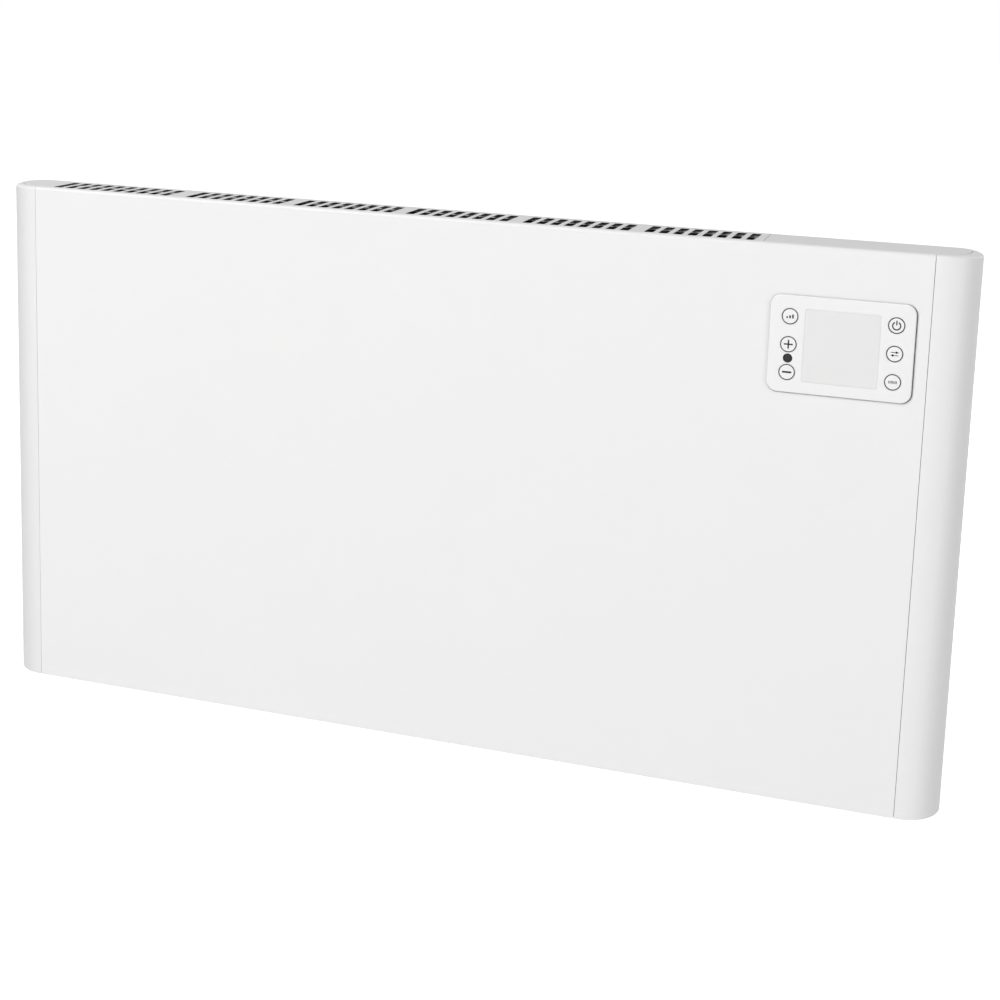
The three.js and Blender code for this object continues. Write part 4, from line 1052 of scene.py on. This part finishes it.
def make_fascia():
    """The raised plate with a rounded front edge on a thin flange that leaves a dark line at its right and
    lower sides, its block behind the panel's window, and a rim inside."""
    centre = (FASCIA_CENTRE.x, FASCIA_CENTRE.z)
    size = (FASCIA_HIGH.x - FASCIA_LOW.x, FASCIA_HIGH.z - FASCIA_LOW.z)
    back = Y_FRONT - FIT

    def inside_outline(name, right, below, span):
        middle = (centre[0] - right / 2, centre[1] + below / 2)
        outline = (size[0] - right, size[1] - below)
        return rounded_prism(name, middle, outline, FASCIA_CORNER, span, corner_steps=12)

    # The flange's dark colour, from the fascia's finish, is a painted shadow line
    piece = inside_outline("fascia_moulding", 0.4 * MM, 0.1 * MM, (back - FLANGE_THICKNESS, back))
    rim_x, rim_z = size[0] / 2 - RIM_REACH, size[1] / 2 - RIM_REACH
    with shaping(piece):
        pick("FACE", lambda v: near(v.y, back))
        bpy.ops.mesh.inset(thickness=BLOCK_INSET)
        extrude(Y * (BLOCK_BACK - back))
        bpy.ops.mesh.inset(thickness=BLOCK_WALL)
        pick_centres(
            lambda c: near(c.y, BLOCK_BACK) and (abs(c.x - centre[0]) > rim_x or abs(c.z - centre[1]) > rim_z)
        )
        extrude(Y * 10 * MM)
        tidy_mesh()
    plate = inside_outline("plate", 1.15 * MM, 0.4 * MM, (FASCIA_FRONT, back - 0.2 * MM))
    with shaping(plate):
        pick("EDGE", lambda v: near(v.y, FASCIA_FRONT))
        round_edges(1.2 * MM, 6)
    fuse(piece, plate)
    pane = PANE_HIGH.x - PANE_LOW.x
    start, reach = FASCIA_FRONT - MM, 8 * MM
    receiver_x, receiver_z = receiver_centre()
    tools = [
        rounded_prism(
            "recess_cutter", centre, (pane + 0.1 * MM,) * 2, PANE_CORNER, (start, FASCIA_FRONT + 1.6 * MM)
        ),
        rounded_prism(
            "aperture_cutter", centre, (pane - 5 * MM,) * 2, 1 * MM, (FASCIA_FRONT, FASCIA_FRONT + 6 * MM)
        ),
        rod("receiver_cutter", (receiver_x, start, receiver_z), Y, RECEIVER_RADIUS + KEY_PLAY, reach, 48),
    ]
    for _, x, z in key_centres():
        tools.append(rod("key_cutter", (x, start, z), Y, controls().key_radius + KEY_PLAY, reach, 64))
    carve(piece, *tools)
    soften(piece, 0.12 * MM, angle=50)
    finished(piece, "Fascia moulding", "heater", ["control_fascia"])


def make_display_pane():
    centre = (FASCIA_CENTRE.x, FASCIA_CENTRE.z)
    size = (PANE_HIGH.x - PANE_LOW.x, PANE_HIGH.z - PANE_LOW.z)
    piece = rounded_prism("display_pane", centre, size, PANE_CORNER, (PANE_LOW.y, PANE_HIGH.y))
    soften(piece, 0.15 * MM)
    finished(piece, "Display face", "heater", ["display_window"])


def make_receiver():
    x, z = receiver_centre()
    profile = [(1.2, -0.15), (2.2, -0.09), (2.9, 0.05), (3.25, 0.25), (3.4, 0.55), (3.4, 3.4)]
    piece = turned("receiver_window", (x, FASCIA_FRONT, z), Y, [(r * MM, d * MM) for r, d in profile], 64)
    finished(piece, "Infrared window", "heater", ["receiver_lens"], 60)


PRINT = 0.04 * MM
KEY_FRONT = FASCIA_FRONT - 0.21 * MM


def print_bar(x, z, width, height):
    """A printed bar with softened corners, on a key's face."""
    corner, span = min(width, height) * 0.3, (KEY_FRONT - PRINT, KEY_FRONT)
    return rounded_prism("bar", (x, z), (width, height), corner, span, corner_steps=3)


def print_ring(name, x, z, outer, width, gap=None):
    """A printed ring, open at its top over the gap if there is one."""
    piece = added(
        "circle", name, (x, KEY_FRONT, z), (1, 1, 1), (QUARTER, 0, 0),
        vertices=64, radius=outer, fill_type="NGON",
    )
    with shaping(piece):
        bpy.ops.mesh.inset(thickness=width)
        bpy.ops.mesh.delete(type="FACE")
        if gap:
            pick_centres(lambda c: c.z > z and abs(c.x - x) < gap / 2)
            bpy.ops.mesh.delete(type="FACE")
        select_everything()
        extrude(Y * -PRINT)
        tidy_mesh()
    return piece


def key_sign(name, x, z):
    """The strokes of a key's sign: bars, each with its place on the key and its size in mm, and an arc."""
    stroke = controls().stroke / MM
    thin = stroke * 0.85
    bars = {
        "plus": [(0, 0, 6.6, stroke), (0, 0, stroke, 6.6)],
        "minus": [(0, 0, 6.8, stroke * 1.25)],
        "power": [(0, 1.9, thin, 3.4)],
        "mode": [(2.1 * (i - 1), (tall - 3) / 2, 1.2, tall) for i, tall in enumerate((1.4, 2.2, 3.0))],
        "set": [(0, -1.1, 5.6, 0.5), (0, 1.1, 5.6, 0.5), (-1.3, -1.1, 1.3, 1.6), (1.3, 1.1, 1.3, 1.6)],
        "week": [((day - 3) * 0.9, 0, 0.5, 2.0) for day in range(7)],
    }
    arcs = [print_ring("arc", x, z - 0.3 * MM, 3.3 * MM, thin * MM, 2.6 * MM)] if name == "power" else []
    return arcs + [
        print_bar(x + right * MM, z + up * MM, width * MM, height * MM)
        for right, up, width, height in bars[name]
    ]


def make_keys():
    radius = controls().key_radius / MM
    collar = radius + 0.9
    rim = [
        (radius - 0.3, -0.21), (radius - 0.12, -0.17), (radius, -0.02), (radius, 4.3), (collar, 4.3),
        (collar, 5.1), (2.0, 5.1), (2.0, 6.4),
    ]
    profile = [(r * MM, d * MM) for r, d in rim]
    for name, x, z in key_centres():
        cap = turned(f"{name}_key_cap", (x, FASCIA_FRONT, z), Y, profile, 64)
        finished(cap, "Fascia plastic", f"{name}_key", [f"key_{name}"])
        ring = print_ring("ring", x, z, controls().key_radius - 0.12 * MM, controls().ring_width)
        sign = joined(f"{name}_key_print", ring, *key_sign(name, x, z))
        finished(sign, "Key ink", f"{name}_key")


# ---- Switch and gland ----

ROCKER_RADIUS = 9 * MM
ROCKER_HALF = 4.6 * MM
PIVOT_Z = -216.4 * MM


def make_mains_switch():
    reach = ROCKER_HALF + FIT
    bezel = rounded_prism(
        "switch_surround", (SWITCH_X, SWITCH_Y), (27 * MM, 17 * MM), 2 * MM,
        (Z_BOTTOM - 2.3 * MM, Z_BOTTOM - FIT), "Z",
    )
    with shaping(bezel):
        pick("EDGE", lambda v: near(v.z, Z_BOTTOM - 2.3 * MM))
        round_edges(0.8 * MM, 4)
    body = switch_block("switch_body", 11 * MM, 6.5 * MM, Z_BOTTOM - MM, Z_BOTTOM + 16 * MM)
    tabs = [
        switch_block("tab", 0.4 * MM, 2.4 * MM, Z_BOTTOM + 15 * MM, Z_BOTTOM + 24 * MM, shift * MM)
        for shift in (-6.5, 0, 6.5)
    ]
    fuse(bezel, body, *tabs)
    pocket_radius = ROCKER_RADIUS + 0.4 * MM
    pocket = rod("pocket_cutter", (SWITCH_X, SWITCH_Y - reach, PIVOT_Z), Y, pocket_radius, 2 * reach, 64)
    mouth = switch_block("mouth_cutter", pocket_radius, reach, Z_BOTTOM - 9 * MM, PIVOT_Z)
    pin = rod("pin_cutter", (SWITCH_X, SWITCH_Y - 6 * MM, PIVOT_Z), Y, 1.9 * MM, 12 * MM)
    fuse(pocket, mouth, pin)
    carve(bezel, pocket)
    soften(bezel, 0.12 * MM, angle=50)
    finished(bezel, "Black moulded plastic", "heater", ["switch_housing"])

    rocker = rod(
        "mains_rocker", (SWITCH_X, SWITCH_Y - ROCKER_HALF, PIVOT_Z), Y, ROCKER_RADIUS, 2 * ROCKER_HALF, 64
    )
    with shaping(rocker):
        for side in (-1, 1):
            select_everything()
            bpy.ops.mesh.bisect(
                plane_co=(SWITCH_X, SWITCH_Y, PIVOT_Z - 1.2 * MM), plane_no=(side * -0.029, 0, -1),
                use_fill=True, clear_outer=True, threshold=0.001 * MM,
            )
        tidy_mesh()
    fuse(rocker, rod("pin", (SWITCH_X, SWITCH_Y - 5.7 * MM, PIVOT_Z), Y, 1.5 * MM, 11.4 * MM))
    with shaping(rocker):
        bpy.ops.transform.rotate(
            value=math.radians(10), orient_axis="Y", center_override=(SWITCH_X, SWITCH_Y, PIVOT_Z)
        )
    soften(rocker, 0.3 * MM, 3, angle=50)
    finished(rocker, "Black moulded plastic", "mains_rocker", ["switch_rocker"])


def make_gland():
    profile = [
        (4.6, 0), (6.2, 0), (7.8, 0.6), (9.4, 2), (10.2, 2.7), (10.4, 3.4), (10.4, 6.2), (10.1, 6.7),
        (7.4, 6.7), (7.4, 17), (6.2, 18), (4.6, 18), (4.6, 0),
    ]
    piece = turned(
        "cable_gland_body", (GLAND_X, SWITCH_Y, Z_BOTTOM - 7 * MM), Z,
        [(r * MM, d * MM) for r, d in profile], 48, tube=True,
    )
    finished(piece, "Black moulded plastic", "heater", ["cable_gland"], 30)


# ---- Wall bracket ----


BRACKET_SHEET = 1.5 * MM
WALL_HOLE_X = 130 * MM


def make_crossbar():
    """A bar on the wall with a keyhole and a round hole for the wall screws on either side."""
    low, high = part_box("bracket_crossbar")
    piece = rounded_prism(
        "crossbar", ((low.x + high.x) / 2, (low.z + high.z) / 2), (high.x - low.x, high.z - low.z), 6 * MM,
        (low.y, high.y),
    )
    start, reach = low.y - MM, high.y - low.y + 2 * MM
    tools = []
    for x in (-WALL_HOLE_X, WALL_HOLE_X):
        eye = rod("eye_cutter", (x, start, 8 * MM), Y, 5 * MM, reach, 48)
        neck = rod("neck_cutter", (x, start, 17 * MM), Y, 2.6 * MM, reach, 32)
        way = block("way_cutter", (x - 2.6 * MM, start, 8 * MM), (x + 2.6 * MM, start + reach, 17 * MM))
        fuse(eye, neck, way)
        tools += [eye, rod("round_cutter", (x, start, -18 * MM), Y, 3.2 * MM, reach, 32)]
    carve(piece, *tools)
    soften(piece, 0.25 * MM)
    finished(piece, "Zinc-coated steel", "wall_bracket", ["bracket_crossbar"])


def make_upright():
    """The right upright: a strip folded forward at both sides, with two hooks that turn up at their tips."""
    low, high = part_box("bracket_upright_right")
    front = Y_BACK + FIT
    piece = added(
        "plane", "upright_right", ((low.x + high.x) / 2, high.y, (low.z + high.z) / 2),
        (high.x - low.x, high.z - low.z, 1), (QUARTER, 0, 0), size=1,
    )
    with shaping(piece):
        for x in (low.x, high.x):
            pick("EDGE", lambda v: near(v.x, x) and near(v.y, high.y))
            extrude(Y * (front - high.y))
        for x in (low.x, high.x):
            pick("EDGE", lambda v: near(v.x, x) and near(v.y, high.y))
            round_edges(2.2 * MM, 5)
        face_towards(Y, lambda c: near(c.y, high.y))
    thicken(piece, BRACKET_SHEET)
    tip = low.y
    for height in HOOK_HEIGHTS:
        middle = (low.x + high.x) / 2
        hook = block(
            "hook", (middle - 1.5 * MM, tip, height - 9 * MM),
            (middle + 1.5 * MM, high.y - BRACKET_SHEET / 2, height),
        )
        with shaping(hook):
            divide(((0, tip + 3 * MM, 0), Y))
            pick("FACE", lambda v: near(v.z, height) and v.y < tip + 3.1 * MM)
            extrude(Z * 6 * MM)
            pick("EDGE", lambda v: near(v.z, height + 6 * MM) and near(v.y, tip))
            round_edges(1.6 * MM, 5)
            pick("EDGE", lambda v: near(v.z, height - 9 * MM) and near(v.y, tip))
            round_edges(4 * MM, 6)
            tidy_mesh()
        fuse(piece, hook)
    soften(piece, 0.2 * MM)
    return piece


def make_wall_bracket():
    make_crossbar()
    finished_pair(
        make_upright(), "upright_left", "Zinc-coated steel", "wall_bracket", "bracket_upright"
    )


# ---- Inner pieces ----


INNER_PIECES = {
    "Zinc-coated steel": ("bay_divider", "element_bracket_left", "element_bracket_right"),
    "Mill aluminium": ("heat_sink", "heating_element", "reflector"),
    "Plated can": ("thermal_cutout",),
    "Steatite": ("element_plug_left", "element_plug_right"),
    "Solder resist": ("control_board", "power_board"),
    "Grey moulded plastic": ("display_module", "suppression_capacitor"),
    "Black moulded plastic": ("relay", "sensor_clip", "room_sensor"),
    "White moulded plastic": ("terminal_block",),
}


def dress_inner_pieces():
    for finish, names in INNER_PIECES.items():
        for name in names:
            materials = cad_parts[name].data.materials
            materials.clear()
            materials.append(finish_of(finish))


# ---- Operators ----


def build_operator(suffix, label, text, build):
    """An operator class that builds one piece or one group of like pieces."""

    def execute(self, context):
        build()
        return {"FINISHED"}

    return type(
        f"HEATER_OT_{suffix}", (bpy.types.Operator,),
        {"bl_idname": f"heater.{suffix}", "bl_label": label, "__doc__": text, "execute": execute},
    )


OPERATORS = [
    build_operator(*row) for row in (
        ("stage", "Stage", "Camera, floor, background and studio lights", make_stage),
        ("front_panel", "Front panel", "Folded front sheet with its rolled top edge", make_front_panel),
        ("rear_panel", "Rear panel", "Folded rear sheet with its hook slots", make_rear_panel),
        ("end_columns", "End columns", "The two moulded end columns", make_end_columns),
        ("outlet_plate", "Outlet plate", "Slotted top plate", make_outlet_plate),
        ("controls_cover", "Controls cover", "Plain top plate over the controls", make_controls_cover),
        ("bottom_plate", "Bottom plate", "Bottom plate with its intake slots", make_bottom_plate),
        ("fascia", "Fascia", "Raised control fascia", make_fascia),
        ("display", "Display", "Pane of the display", make_display_pane),
        ("receiver", "Receiver", "Dark infrared window", make_receiver),
        ("keys", "Keys", "Six round push keys and their print", make_keys),
        ("mains_switch", "Mains switch", "Switch surround and rocker", make_mains_switch),
        ("gland", "Cable gland", "Gland of the mains lead", make_gland),
        ("wall_bracket", "Wall bracket", "Crossbar and hooked uprights", make_wall_bracket),
        ("inner_pieces", "Inner pieces", "Finishes of the pieces inside the casing", dress_inner_pieces),
    )
]


class HEATER_PT_pieces(bpy.types.Panel):
    """Lists the operators that build the heater"""

    bl_idname = "HEATER_PT_pieces"
    bl_label = "Wall panel convector"
    bl_space_type = "VIEW_3D"
    bl_region_type = "UI"
    bl_category = "Heater"

    def draw(self, context):
        for operator in OPERATORS:
            self.layout.operator(operator.bl_idname)


SETTINGS = {
    "heater_casing": CasingSettings,
    "heater_outlet": OutletSettings,
    "heater_controls": ControlSettings,
    "heater_stage": StageSettings,
}


def register():
    for cls in (*SETTINGS.values(), *OPERATORS, HEATER_PT_pieces):
        bpy.utils.register_class(cls)
    for name, cls in SETTINGS.items():
        setattr(bpy.types.Scene, name, PointerProperty(type=cls))


def unregister():
    for name in SETTINGS:
        delattr(bpy.types.Scene, name)
    for cls in (HEATER_PT_pieces, *reversed(OPERATORS), *reversed(list(SETTINGS.values()))):
        bpy.utils.unregister_class(cls)


def main():
    register()
    for operator in OPERATORS:
        getattr(bpy.ops.heater, operator.bl_idname.split(".")[1])()


if __name__ == "__main__":
    main()
